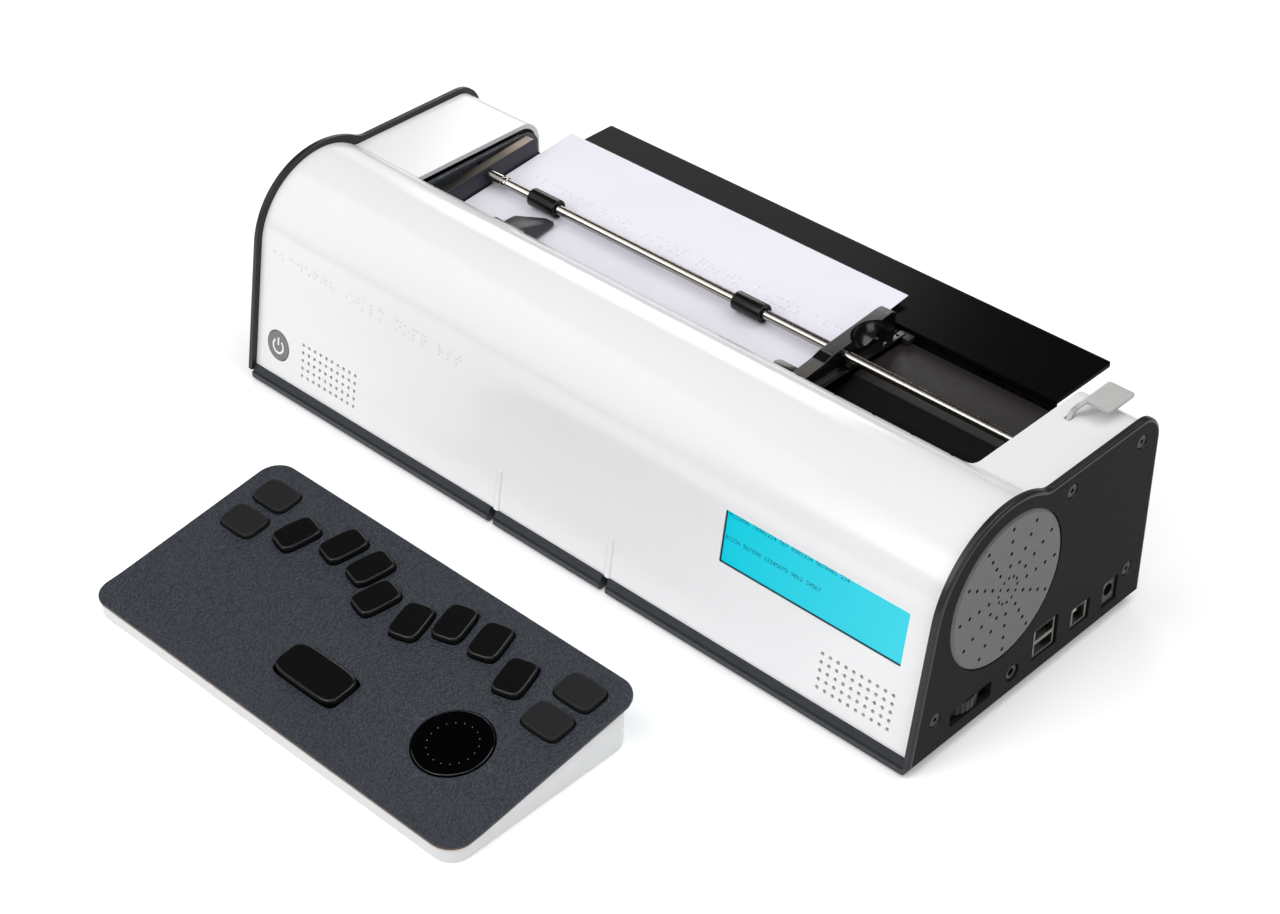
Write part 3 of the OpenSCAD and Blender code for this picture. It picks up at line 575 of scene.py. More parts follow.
for n, k in (("base_tray", 'base'), ("lcd_board", 'pcb'), ("speaker_left", 'hole'), ("speaker_right", 'hole'),
             ("main_board", 'pcb'), ("usb_a_port", 'tin'), ("usb_b_port", 'tin'), ("dc_inlet", 'blackpl'),
             ("audio_jack", 'blackpl'), ("volume_pot", 'steel'), ("volume_wheel", 'wheel'), ("battery_pack", 'batt'),
             ("rubber_feet", 'rubber'), ("plate_screws", 'screw'), ("frame_left", 'slatedark'), ("frame_right", 'steel'),
             ("paper_bed", 'bed'), ("rail_front", 'rod'), ("rail_rear", 'rod'), ("feed_motor", 'motor'),
             ("carriage_motor", 'motor'), ("feed_shaft", 'rod'), ("feed_tyres", 'rubber'), ("kb_board", 'pcb'),
             ("kb_domes", 'dome'), ("kb_feet", 'rubber'), ("nav_gimbal", 'dome'), ("nav_cradle", 'blackpl'), ("lcd_panel", 'lcd'),
             ("top_cover", 'white'), ("end_plate_left", 'plate'), ("end_plate_right", 'plate'), ("speaker_disc", 'disc'),
             ("paper_guide_left", 'slateblk'), ("paper_guide_right", 'gloss'), ("paper_shelf", 'shelf'), ("bail_rod", 'rod'),
             ("bail_roller_left", 'rubber'), ("bail_roller_right", 'rubber'), ("embossing_head", 'gloss'),
             ("paper_sheet", 'paper'), ("release_lever", 'lever'), ("power_button", 'grey'), ("kb_base", 'kbwhite'),
             ("kb_top", 'slate'), ("key_space", 'key'), ("nav_disc", 'nav')):
    paint(n, k)
for k in range(1, 9):
    paint("key_dot_%d" % k, 'key')
for k in range(1, 5):
    paint("key_func_%d" % k, 'keym')


def put(ob, body, slot, *nodes):
    if nodes:
        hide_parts(*nodes)
    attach(ob, body)
    return ob


# ------------------------------------------------------------------ outline of cover and plates


def outline(i, rb, zb, rf, n=1.0):
    """Front-bottom to back-bottom, set in by i."""
    r = CROWN - i
    ca = CZ + r - rb
    zd = DECK - i
    fy = CY + math.sqrt((rb + rf) ** 2 - (zd + rf - ca) ** 2)
    pts = []
    y0, z0 = i / FC + zb * FT, zb
    y1, z1 = CY - r * FC, CZ + r * FS
    for k in range(4):
        t = k / 4.0
        pts.append((y0 + (y1 - y0) * t, z0 + (z1 - z0) * t))
    a0 = math.pi - LEAN
    for k in range(40):
        a = a0 + (math.pi / 2 - a0) * k / 40.0
        pts.append((CY + r * math.cos(a), CZ + r * math.sin(a)))
    af = math.atan2(zd + rf - ca, fy - CY)
    for k in range(24):
        a = math.pi / 2 + (af - math.pi / 2) * k / 24.0
        pts.append((CY + rb * math.cos(a), ca + rb * math.sin(a)))
    b0, b1 = af + math.pi, 1.5 * math.pi
    for k in range(10):
        a = b0 + (b1 - b0) * k / 10.0
        pts.append((fy + rf * math.cos(a), zd + rf + rf * math.sin(a)))
    ye = DEP - REAR
    for k in range(4):
        pts.append((fy + (ye - fy) * k / 4.0, zd))
    for k in range(16):
        a = math.pi / 2 * (1 - k / 16.0)
        pts.append((ye + (REAR - i) * math.cos(a), DECK - REAR + (REAR - i) * math.sin(a)))
    zt = DECK - REAR
    for k in range(4):
        pts.append((DEP - i, zt + (zb - zt) * k / 3.0))
    return pts


# ------------------------------------------------------------------ top cover
def build_cover():
    outer = outline(COV, 33.0, SEAM, 6.0)
    inner = outline(COV + WALL, 33.0 - WALL, SEAM, 8.0)
    ring = outer + inner[::-1]
    vs, fs = [], []
    n = len(ring)
    for x in (-XI, XI):
        vs += [V(x, y, z) for y, z in ring]
    for i in range(n):
        j = (i + 1) % n
        fs.append((i, j, n + j, n + i))
    m = len(outer)
    # end caps as quad strips between the outer and the inner line
    for e in (0, n):
        for i in range(m - 1):
            fs.append((e + i, e + i + 1, e + n - 2 - i, e + n - 1 - i))
    ob = obj_from("cover_shell", vs, fs, (M['white'],))
    cs = []
    plan = [(OPEN_R, 260.0), (COV_L, 260.0)]
    for k in range(7):
        a = math.pi + math.pi / 2 * k / 6
        plan.append((COV_L + 2 + 2 * math.cos(a), LIP + 2 + 2 * math.sin(a)))
    # margin notches along the lip
    for k in range(16):
        xc = 171.3 - 21.65 * (15 - k)
        for t in range(7):
            a = math.pi + math.pi * t / 6
            plan.append((xc + 1.2 * math.cos(a), LIP + 2.0 * math.sin(a)))
    for k in range(9):
        a = 1.5 * math.pi + math.pi / 2 * k / 8
        plan.append((OPEN_R - 6 + 6 * math.cos(a), LIP + 6 + 6 * math.sin(a)))
    cut(ob, [prism_z(plan, 76, 150)], angle=32.0, bevel=0.85, bev_angle=48.0, seg=4)
    cs.append(prism_m(rrect(102.4, 26.6, 0.8, 4), -8, 8, ON_FRONT(151.1, 56.5)))
    for c in (-159.7, 182.2):
        for i in range(10):
            for j in range(5):
                cs.append(prism_m([(1.0 * math.cos(a * math.pi / 8), 1.0 * math.sin(a * math.pi / 8)) for a in range(16)],
                                  -8, 8, ON_FRONT(c + (i - 4.5) * 4.34, 19.6 + (j - 2) * 4.34)))
    cs.append(prism_m([(8.4 * math.cos(a * math.pi / 32), 8.4 * math.sin(a * math.pi / 32)) for a in range(64)], -8, 8, ON_FRONT(-198.3, 19.9)))
    ring = []
    for r, a0, a1 in ((14.3, 103.0, 158.0), (10.95, 158.0, 103.0)):
        for k in range(13):
            a = math.radians(a0 + (a1 - a0) * k / 12)
            ring.append((LEV_Y + r * math.cos(a), LEV_Z + r * math.sin(a)))
    cs.append(prism_x(ring, 188.6, 192.0))
    cut(ob, cs, angle=32.0)
    wn(ob)
    put(ob, "chassis", "cover_white", "top_cover")
    # two upright ribs on the front
    for k, x in enumerate((-36.2, 37.4)):
        m = ON_FRONT(x, 14.0)
        prof = []
        for q in range(9):
            a = math.pi * q / 8
            prof.append((1.8 * math.cos(a), 1.0 * math.sin(a) ** 0.7))
        rings = []
        for s in (-11.5, -6, 0, 6, 9.0):
            rings.append([m @ Vector((px, s, pz - 0.15)) for px, pz in prof])
        for q in range(1, 7):
            a = math.pi / 2 * q / 6
            rings.append([m @ Vector((px * math.cos(a), 9.0 + 1.8 * math.sin(a), pz * (0.35 + 0.65 * math.cos(a)) - 0.15)) for px, pz in prof])
        vs, fs = loft(rings, close_u=True)
        put(obj_from("front_rib_%d" % (k + 1), vs, fs, (M['white'],), True, 50), "chassis", "cover_white")


build_cover()

# ------------------------------------------------------------------ end plates
SCR = [(16.4, 18.5), (102, 92.3), (152.9, 90.9), (154.6, 19.1)]


def build_plate(side):
    lay = [(0, 0.25), (0.25, 0.0), (2.2, 0.0), (2.55, 0.06), (2.85, 0.24), (3.12, 0.52), (3.3, 0.86), (3.42, 1.22), (3.5, 1.75)]
    rings = []
    for dx, i in lay:
        o = outline(i, CROWN - i, 0.0 + i * 0.4, 12.0 + i)
        rings.append([V(side * (XI + dx), y, z) for y, z in o])
    vs, fs = loft(rings)
    mi = [0] * (len(fs) - 2) + [0, 1]
    ob = obj_from("plate_right" if side > 0 else "plate_left", vs, fs, (M['rim'], M['plate']), True, 35, mi)
    cs = []
    n24 = [(math.cos(a * math.pi / 16), math.sin(a * math.pi / 16)) for a in range(32)]
    for y, z in SCR:
        cs.append(loft([[V(side * (XI - 1), y + 1.6 * c, z + 1.6 * s) for c, s in n24], [V(side * (XI + 1.5), y + 1.6 * c, z + 1.6 * s) for c, s in n24],
                        [V(side * (XI + 1.5), y + 3.4 * c, z + 3.4 * s) for c, s in n24], [V(side * (XI + 2.6), y + 3.5 * c, z + 3.5 * s) for c, s in n24],
                        [V(side * (XI + 6), y + 4.6 * c, z + 4.6 * s) for c, s in n24]]))
    if side > 0:
        n96 = [(math.cos(a * math.pi / 48), math.sin(a * math.pi / 48)) for a in range(96)]
        cs.append(loft([[V(XP - 1.6, 59.8 + 38.15 * c, 63.7 + 38.15 * s) for c, s in n96], [V(XP + 3, 59.8 + 38.15 * c, 63.7 + 38.15 * s) for c, s in n96]]))

        def port(y, z, w, h, r):
            cs.append(loft([[V(XI - 2, y + a, z + b) for a, b in rrect(w, h, r, 5)], [V(XP + 3, y + a, z + b) for a, b in rrect(w, h, r, 5)]]))
        port(41.1, 11.5, 28.6, 9, 1.5)
        port(93.5, 16.35, 17.9, 17.3, 1.0)
        port(119.6, 13.75, 14, 12.1, 1.0)
        port(142.3, 13.05, 11.4, 14.5, 1.0)
        cs.append(loft([[V(XI - 2, 70.5 + 4.5 * c, 10.5 + 4.5 * s) for c, s in n24], [V(XP + 3, 70.5 + 4.5 * c, 10.5 + 4.5 * s) for c, s in n24]]))
    cut(ob, cs, angle=28.0)
    wn(ob)
    put(ob, "chassis", "plate_black", "end_plate_right" if side > 0 else "end_plate_left")


build_plate(1)
build_plate(-1)


def build_disc():
    m = axis_x(XP - 1.6, 59.8, 63.7)
    prof = [(0, 0), (37.8, 0), (37.8, 0.85), (37.72, 1.05), (37.5, 1.22), (36.35, 1.98), (36.15, 2.07), (35.9, 2.1), (30, 2.1), (0, 2.1)]
    ob = lathe("grille_disc", prof, m, (M['disc'],), seg=128, angle=30)
    cs = []
    n16 = [(math.cos(a * math.pi / 8), math.sin(a * math.pi / 8)) for a in range(16)]

    def hole(u, v, r):
        cs.append(loft([[m @ Vector((u + r * c, v + r * s, 0.6)) for c, s in n16], [m @ Vector((u + r * c, v + r * s, 4)) for c, s in n16]]))
    hole(0, 0, 0.95)
    for k in range(12):
        a = math.radians(30 * k)
        for q in range(1, 6):
            hole(6.5 * q * math.cos(a), 6.5 * q * math.sin(a), 0.78 if q == 1 else 0.95)
    for _ in (0,):
        ob.data.materials.append(M['hole'])
    cut(ob, cs, angle=30)
    # blind bottoms and walls of the holes are painted dark: painted shade of deep holes
    xs = (XP - 1.6 + 2.1 + XO) / 1000
    for p in ob.data.polygons:
        r = math.hypot(p.center.y - m.translation.y, p.center.z - m.translation.z)
        if p.center.x < xs - 0.00005 and r < 0.0352 and p.center.x > xs - 0.0019:
            p.material_index = 1
    wn(ob)
    put(ob, "chassis", "disc_grey", "speaker_disc")


build_disc()

# ------------------------------------------------------------------ display


def build_lcd():
    m = ON_FRONT(151.1, 56.5)
    d = -WALL - 0.05
    g = -1.15
    parts = [prism_m(rrect(110.4, 33.6, 0.6, 3), d - 2.5, d, m), prism_m(rrect(101.9, 26.1, 0.6, 3), d - 0.2, g, m)]
    ob = solid("lcd_glass", parts, (M['lcd'],), bevel=0.25, seg=2)
    put(ob, "chassis", "lcd_cyan", "lcd_panel")
    # dark gasket lining the window walls
    w, h, t = 102.4, 26.6, 0.28
    parts = []
    for a, b, c, e in ((-w / 2, w / 2, -h / 2, -h / 2 + t), (-w / 2, w / 2, h / 2 - t, h / 2),
                       (-w / 2, -w / 2 + t, -h / 2 + t, h / 2 - t), (w / 2 - t, w / 2, -h / 2 + t, h / 2 - t)):
        parts.append(prism_m([(a, c), (b, c), (b, e), (a, e)], d, -0.3, m))
    put(solid("lcd_gasket", parts, (M['gasket'],), bevel=0.08, seg=1), "chassis", "base_black")
    # generic digits in a dot matrix
    font = {'0': "0E11131519110E", '1': "040C040404040E", '2': "0E11010204081F", '3': "1F02040201110E", '4': "02060A121F0202",
            '5': "1F101E0101110E", '6': "0608101E11110E", '7': "1F010204080808", '8': "0E11110E11110E", '9': "0E11110F01020C"}
    vs, fs = [], []
    z = g + 0.03

    def quad(u, v, a):
        b = len(vs)
        for du, dv in ((-a, -a), (a, -a), (a, a), (-a, a)):
            vs.append(m @ Vector((u + du, v + dv, z)))
        fs.append((b, b + 1, b + 2, b + 3))

    def line(text, u0, v0, px):
        u = u0
        for ch in text:
            if ch in font:
                g = font[ch]
                for r in range(7):
                    row = int(g[2 * r:2 * r + 2], 16)
                    for c in range(5):
                        if row >> (4 - c) & 1:
                            quad(u + c * px, v0 - r * px, px * 0.47)
            u += 6 * px
    line("0123456 78901234 567 8901234 5678901 234", -50.0, 12.4, 0.285)
    line("01234 567890 12345678 9012 34567", -50.0, 0.6, 0.285)
    ob = obj_from("lcd_digits", vs, fs, (M['ink'],), False)
    put(ob, "chassis", "base_black")


build_lcd()

# ------------------------------------------------------------------ power button and front label


def build_power():
    m = ON_FRONT(-198.3, 19.9)
    prof = [(0, -5.0), (10, -5.0), (10, -3.4), (8.0, -3.4), (8.0, -0.35), (7.9, -0.05), (7.6, 0.08), (7.0, 0.1), (0, 0.1)]
    ob = lathe("power_cap", prof, m, (M['grey'],), seg=64)
    put(ob, "power", "power_grey", "power_button")
    # open ring with an upright bar
    vs, fs = [], []
    z0, z1 = 0.06, 0.17

    def strip(path, w):
        b = len(vs)
        n = len(path)
        for k, (u, v) in enumerate(path):
            a, c = path[max(k - 1, 0)], path[min(k + 1, n - 1)]
            du, dv = c[0] - a[0], c[1] - a[1]
            q = math.hypot(du, dv)
            nu, nv = -dv / q * w, du / q * w
            for s, z in ((1, z0), (1, z1), (-1, z1), (-1, z0)):
                vs.append(m @ Vector((u + s * nu, v + s * nv, z)))
        for k in range(n - 1):
            for i in range(4):
                j = (i + 1) % 4
                fs.append((b + 4 * k + i, b + 4 * k + j, b + 4 * k + 4 + j, b + 4 * k + 4 + i))
        fs.append((b, b + 1, b + 2, b + 3))
        e = b + 4 * (n - 1)
        fs.append((e + 3, e + 2, e + 1, e))
    strip([(3.75 * math.sin(math.radians(a)), -0.3 + 3.75 * math.cos(math.radians(a))) for a in range(38, 323, 6)], 0.58)
    strip([(0, 0.3), (0, 2.4), (0, 4.6)], 0.58)
    put(obj_from("power_mark", vs, fs, (M['mark'],), True, 40), "power", "power_grey")


build_power()

CELLS = {c: d for c, d in zip("abcdefghijklmnopqrstuvwxyz", ("1", "12", "14", "145", "15", "124", "1245", "125", "24", "245", "13", "123", "134", "1345",
         "135", "1234", "12345", "1235", "234", "2345", "136", "1236", "2456", "1346", "13456", "1356"))}
DOT = {'1': (0, 0), '2': (0, -2.5), '3': (0, -5.0), '4': (2.5, 0), '5': (2.5, -2.5), '6': (2.5, -5.0)}


def cells(text, u0, v0, pitch):
    out = []
    for k, ch in enumerate(text):
        for d in CELLS.get(ch, ""):
            out.append((u0 + k * pitch + DOT[d][0], v0 + DOT[d][1]))
    return out


def build_label():
    ms = [ON_FRONT(u, v) for u, v in cells("abcdefgh ijklm nopq rst", -204.6, 70.6, 6.05)]
    put(domes("label_dots", ms, 0.82, 0.5, (M['white'],), 12), "chassis", "cover_white")


build_label()

# ------------------------------------------------------------------ paper path


def sheet_m():
    """Local frame on the sheet: x along, y up the sheet from its near edge, z off its face."""
    y0 = 176.7 - 134 * math.cos(SHEET_A)
    return Matrix.Translation(V(-156.3, y0, sheet_z(y0))) @ Matrix.Rotation(SHEET_A, 4, 'X') @ Matrix.Scale(0.001, 4)


def build_sheet():
    m = sheet_m()
    nx, ny = 36, 28
    w, l, t = 225.0, 134.0, 0.25

    def lift(u, v):
        # free end curls up a little, more at its corners
        a = max(0.0, (v - 112) / 22.0)
        e = abs(u / w - 0.45)
        return 0.25 * a * a * (0.4 + 1.2 * e) + 0.05 * math.sin(u * 0.06) * a
    vs, fs = [], []
    for z in (t, 0.0):
        for j in range(ny + 1):
            for i in range(nx + 1):
                u, v = w * i / nx, l * j / ny
                vs.append(m @ Vector((u, v, z + lift(u, v))))
    q = (nx + 1) * (ny + 1)
    for j in range(ny):
        for i in range(nx):
            a = j * (nx + 1) + i
            fs.append((a, a + 1, a + nx + 2, a + nx + 1))
            fs.append((q + a, q + a + nx + 1, q + a + nx + 2, q + a + 1))
    edge = [i for i in range(nx + 1)] + [(j + 1) * (nx + 1) - 1 for j in range(1, ny + 1)] + \
           [ny * (nx + 1) + i for i in range(nx - 1, -1, -1)] + [j * (nx + 1) for j in range(ny - 1, 0, -1)]
    for k in range(len(edge)):
        a, b = edge[k], edge[(k + 1) % len(edge)]
        fs.append((a, q + a, q + b, b))
    ob = obj_from("sheet_leaf", vs, fs, (M['paper'],), True, 40)
    put(ob, "sheet", "sheet_white", "paper_sheet")
    ms = []
    for v, text in ((95.5, "abcdefg hijk lmnop qrstu vwxyz abc"), (85.5, "klmno pqrst uvw xyzab cdefgh ij")):
        for u, vv in cells(text, 13.7, v, 6.05):
            ms.append(m @ Matrix.Translation((u, vv, t)))
    put(domes("sheet_dots", ms, 0.8, 0.45, (M['paper'],), 10), "sheet", "sheet_white")


build_sheet()


def build_rod():
    m = axis_x(-160.2, ROD_Y, ROD_Z)
    L = OPEN_R + 4 + 160.2
    prof = [(0, 0), (2.5, 0), (2.5, 3.3), (2.9, 3.35), (3.1, 3.6), (3.1, 13.2), (2.75, 13.5), (2.75, 14.3), (3.1, 14.6), (3.1, 15.7), (2.95, 16.2), (2.6, 16.5), (2.5, 16.7), (2.5, L - 0.4), (2.1, L), (0, L)]
    put(lathe("bail_bar", prof, m, (M['rod'],), seg=40, angle=30), "chassis", "rod_steel", "bail_rod")
    for name, (a, b), body, node in (("roller_l", (-125.6, -107.4), "bail_left", "bail_roller_left"), ("roller_r", (11.6, 29.6), "bail_right", "bail_roller_right")):
        m = axis_x(a, ROD_Y, ROD_Z)
        h = b - a
        prof = [(2.58, 0.9), (3.3, 0.85), (3.5, 0.3), (3.7, 0.08), (4.3, 0.0), (4.58, 0.08), (4.75, 0.3), (4.8, 0.6), (4.8, h - 0.6), (4.75, h - 0.3), (4.58, h - 0.08),
                (4.3, h), (3.7, h - 0.08), (3.5, h - 0.3), (3.3, h - 0.85), (2.58, h - 0.9), (2.58, 0.9)]
        put(lathe(name, prof, m, (M['roller'],), seg=64, angle=30), body, "rubber_black", node)


build_rod()


def build_shelf():
    parts = [prism_z(rrect(319.4, 42.6, 1.4, 5, 8.3, 180.3), 82.5, 85.0), boxv(-151, 167.6, 159.2, 161.2, 80.4, 83.0)]
    for x in (-120, 3, 126):
        parts.append(boxv(x, x + 12, 159.2, 161.45, 68, 82.6))
    ob = solid("rear_shelf", parts, (M['shelf'],), bevel=0.28, seg=3)
    # the broad faces stay dead flat, so the sheen is even from edge to edge
    for f in ob.data.polygons:
        if f.area > 2e-4:
            f.use_smooth = False
    put(ob, "chassis", "shelf_black", "paper_shelf")


build_shelf()


def build_shade_liner():
    # matt black sheet in the gap behind the bed's rear edge: painted shade that keeps the gap dark
    parts = [boxv(a, b, 160.9, 161.45, 58, 80.3) for a, b in ((-166.5, -119.7), (-108.3, 3.3), (14.7, 126.3), (137.7, 181.0))]
    put(solid("rear_shade_liner", parts, (M['liner'],), bevel=0.1, seg=1), "chassis", "base_black")


build_shade_liner()


def build_left_guide():
    y0, y1 = LIP + 1.6, 152.4

    def top(y):
        return 89.7 + (95.4 - 89.7) * (y - y0) / (150.6 - y0)
    prof = [(y0, 80.0), (y0, top(y0) - 0.6), (y0 + 0.8, top(y0 + 0.8))]
    prof += [(y, top(y)) for y in (95, 110, 125, 140)]
    prof += [(149.4, top(149.4)), (150.8, 95.2), (151.9, 94.5), (152.4, 93.4), (152.4, 80.0)]
    ob = solid("guide_fixed", [prism_x(prof, -162.8, -157.2)], (M['slateface'], M['bronze']), bevel=0.35, seg=3, bev_angle=50)
    # the top faces carry the painted highlight
    for f in ob.data.polygons:
        if f.normal.z > 0.8:
            f.material_index = 1
    put(ob, "chassis", "guide_black", "paper_guide_left")
    # ledge of the side channel with a row of small bright stops
    rail = [(82.5, 92.4), (82.5, 95.1), (149, 95.7), (149, 94.0)]
    put(solid("guide_rail", [prism_x(rail, -166.15, -163.75)], (M['slatedark'],), bevel=0.2, seg=2), "chassis", "guide_black")
    ms = [axis_z(-164.2, y, 95.05 + 0.6 * (y - 82.5) / 66.5) for y in (92.3, 97.1, 103.4, 108.0, 115.7, 121.2, 124.0, 131.6, 137.4, 143.9)]
    put(domes("guide_stops", ms, 0.36, 0.28, (M['rod'],), 10), "chassis", "rod_steel")
    # end pin of the bar by the lip
    put(lathe("guide_pin", [(0, -0.6), (1.5, -0.6), (1.5, 0.5), (1.2, 0.9), (0.5, 1.05), (0, 1.05)], axis_z(-158.9, 83.4, top(83.4) + 0.15), (M['brass'],), seg=28), "chassis", "rod_steel")


build_left_guide()


def build_bed():
    z = 80.0
    line = [(157, z - 0.35), (156.6, z - 0.05), (154.2, z - 0.05), (153.8, z), (119.6, z), (118.7, z - 0.15), (118, z - 0.5), (109.5, z - 4.4), (107.5, z - 10), (91, z - 11), (91, z - 13.5), (109, z - 12.7),
            (111.4, z - 6.4), (119, z - 3), (154, z - 3), (154, z - 9), (157, z - 9)]
    vs, fs = prism_x(line, OPEN_L - 1, OPEN_R + 2)
    ob = obj_from("bed_plate", vs, fs, (M['bed'], M['bedflat'], M['bedslope']), True, 20)
    cut(ob, [boxv(a - 1.5, b + 1.5, ROD_Y - 10.5, ROD_Y + 8.5, 60, 90) for a, b in ((-125.6, -107.4), (11.6, 29.6))], angle=20)
    # flat tops get the lighter copy, painted light; the front slope the darker copy, painted shade
    for f in ob.data.polygons:
        c = f.center
        if f.normal.z > 0.97 and c.z > V(0, 0, 79.8).z:
            f.material_index = 1
        elif f.normal.z > 0.7 and c.y > V(0, 109.4, 0).y and c.z > V(0, 0, 75).z:
            f.material_index = 2
        else:
            f.material_index = 0
    put(ob, "chassis", "bed_black", "paper_bed")


build_bed()


def build_right_guide():
    bz = 80
    bar = [(87.5, bz + 0.5), (87.5, 87.6), (87.9, 88.4), (88.9, 89.1), (103.4, 90.55), (104.2, 90.75), (109.2, 92.25), (110.2, 92.45), (148.6, 95.4), (151.0, 95.45), (153.0, 95.15), (154.3, 94.4), (155, 93.0), (155, bz + 0.5)]
    ob = solid("guide_bar", [prism_x(bar, 70.8, 78.8)], (M['gloss'], M['bartop']), bevel=0.55, seg=3, bev_angle=50)
    rings = []
    c = V(84.9, 133.3, 97.5)
    for i in range(1, 24):
        a = math.pi * i / 24
        rings.append([c + Vector((12.8 * math.sin(a) * math.cos(b), 12.8 * math.sin(a) * math.sin(b), 12.8 * math.cos(a))) / 1000 for b in [2 * math.pi * k / 64 for k in range(64)]])
    n24 = [(math.cos(a * math.pi / 16), math.sin(a * math.pi / 16)) for a in range(32)]
    rod = loft([[V(60, ROD_Y + 2.8 * q, ROD_Z + 2.8 * w) for q, w in n24], [V(90, ROD_Y + 2.8 * q, ROD_Z + 2.8 * w) for q, w in n24]])
    cut(ob, [loft(rings), rod], angle=30)
    bc = V(84.9, 133.3, 97.5)
    # upward faces outside the scoop and ramp get the brown-grey painted reflection
    for f in ob.data.polygons:
        in_scoop = (f.center - bc).length < 0.01282
        ramp = V(0, 104.0, 0).y < f.center.y < V(0, 109.5, 0).y
        if f.normal.z > 0.85 and not in_scoop and not ramp:
            f.material_index = 1
        else:
            f.material_index = 0
    wn(ob)
    put(ob, "right_guide", "guide_black", "paper_guide_right")
    parts = [prism_z(rrect(14.6, 65, 0.8, 3, 76.9, 124.5), bz + 0.4, bz + 3.2), boxv(83.0, 84.2, 92.6, 156.6, bz + 0.6, bz + 4.0), boxv(78.9, 79.5, 92.6, 156.6, bz + 0.6, bz + 3.75)]
    put(solid("guide_foot", parts, (M['gloss'],), bevel=0.22, seg=2), "right_guide", "guide_black")
    put(solid("guide_tab", [prism_z(rrect(8.2, 5.0, 0.8, 4, 84.1, 155.7), bz + 0.4, bz + 3.6)], (M['slateblk'],), bevel=0.4, seg=3), "right_guide", "guide_black")
    # hold-down finger at the lip
    fing = [(71.4, 92.8), (71.4, 98.8)]
    for k in range(13):
        a = math.pi / 2 + math.pi * k / 12
        fing.append((58.8 + 3 * math.cos(a), 95.8 + 3 * math.sin(a)))
    put(solid("guide_finger", [prism_z(fing, 83.6, 86.0)], (M['gloss'],), bevel=0.7, seg=3, bev_angle=50), "right_guide", "guide_black")
    # small screw on the ledge
    m = axis_z(81.3, 144.4, 83.2)
    put(lathe("guide_screw", [(0, -0.3), (1.3, -0.3), (1.3, 0.35), (1.15, 0.6), (0.7, 0.75), (0, 0.8)], m, (M['rod'],), seg=24), "right_guide", "screw_black")


build_right_guide()


def build_head():
    parts = [boxv(-129, -89, 42, 72, 86, 97), boxv(-119.5, -98.5, 71, 87.5, 84.6, 93.2)]
    ob = solid("head_carriage", parts, (M['slateblk'],), bevel=0.6, seg=2)
    n24 = [(math.cos(a * math.pi / 16), math.sin(a * math.pi / 16)) for a in range(32)]
    cut(ob, [loft([[V(-131, y + 3.12 * c, 92 + 3.12 * s) for c, s in n24], [V(-87, y + 3.12 * c, 92 + 3.12 * s) for c, s in n24]]) for y in (48, 66)], angle=35)
    put(ob, "head", "guide_black", "embossing_head")
    # faceted nose that shows over the sheet
    top = [(-122.8, 86, 85.4), (-122.8, 100.5, 85.4), (-122.2, 103.0, 85.6), (-108.9, 111.4, 85.9), (-104.8, 112.5, 85.2), (-103.8, 111.9, 85.0), (-101.6, 90, 84.6), (-101.4, 86, 84.7), (-110.4, 86, 89.0)]
    vs = [V(*q) for q in top] + [V(q[0], q[1], 83.2) for q in top[:8]]
    fs = [(k, k + 1, 8) for k in range(7)]
    for k in range(7):
        fs.append((k, k + 1, 9 + k + 1, 9 + k))
    fs.append((7, 8, 0, 9, 16))
    fs.append(tuple(range(16, 8, -1)))
    # the three facets on the left take the brown painted reflection
    ob = obj_from("head_nose", vs, fs, (M['nosetop'], M['slateface'], M['gloss']), True, 40, [0, 0, 0, 1, 1, 1, 1] + [2] * 9)
    bev(ob, 0.35, 24, 3)
    shade(ob.data, True, 30)
    put(ob, "head", "guide_black")


build_head()


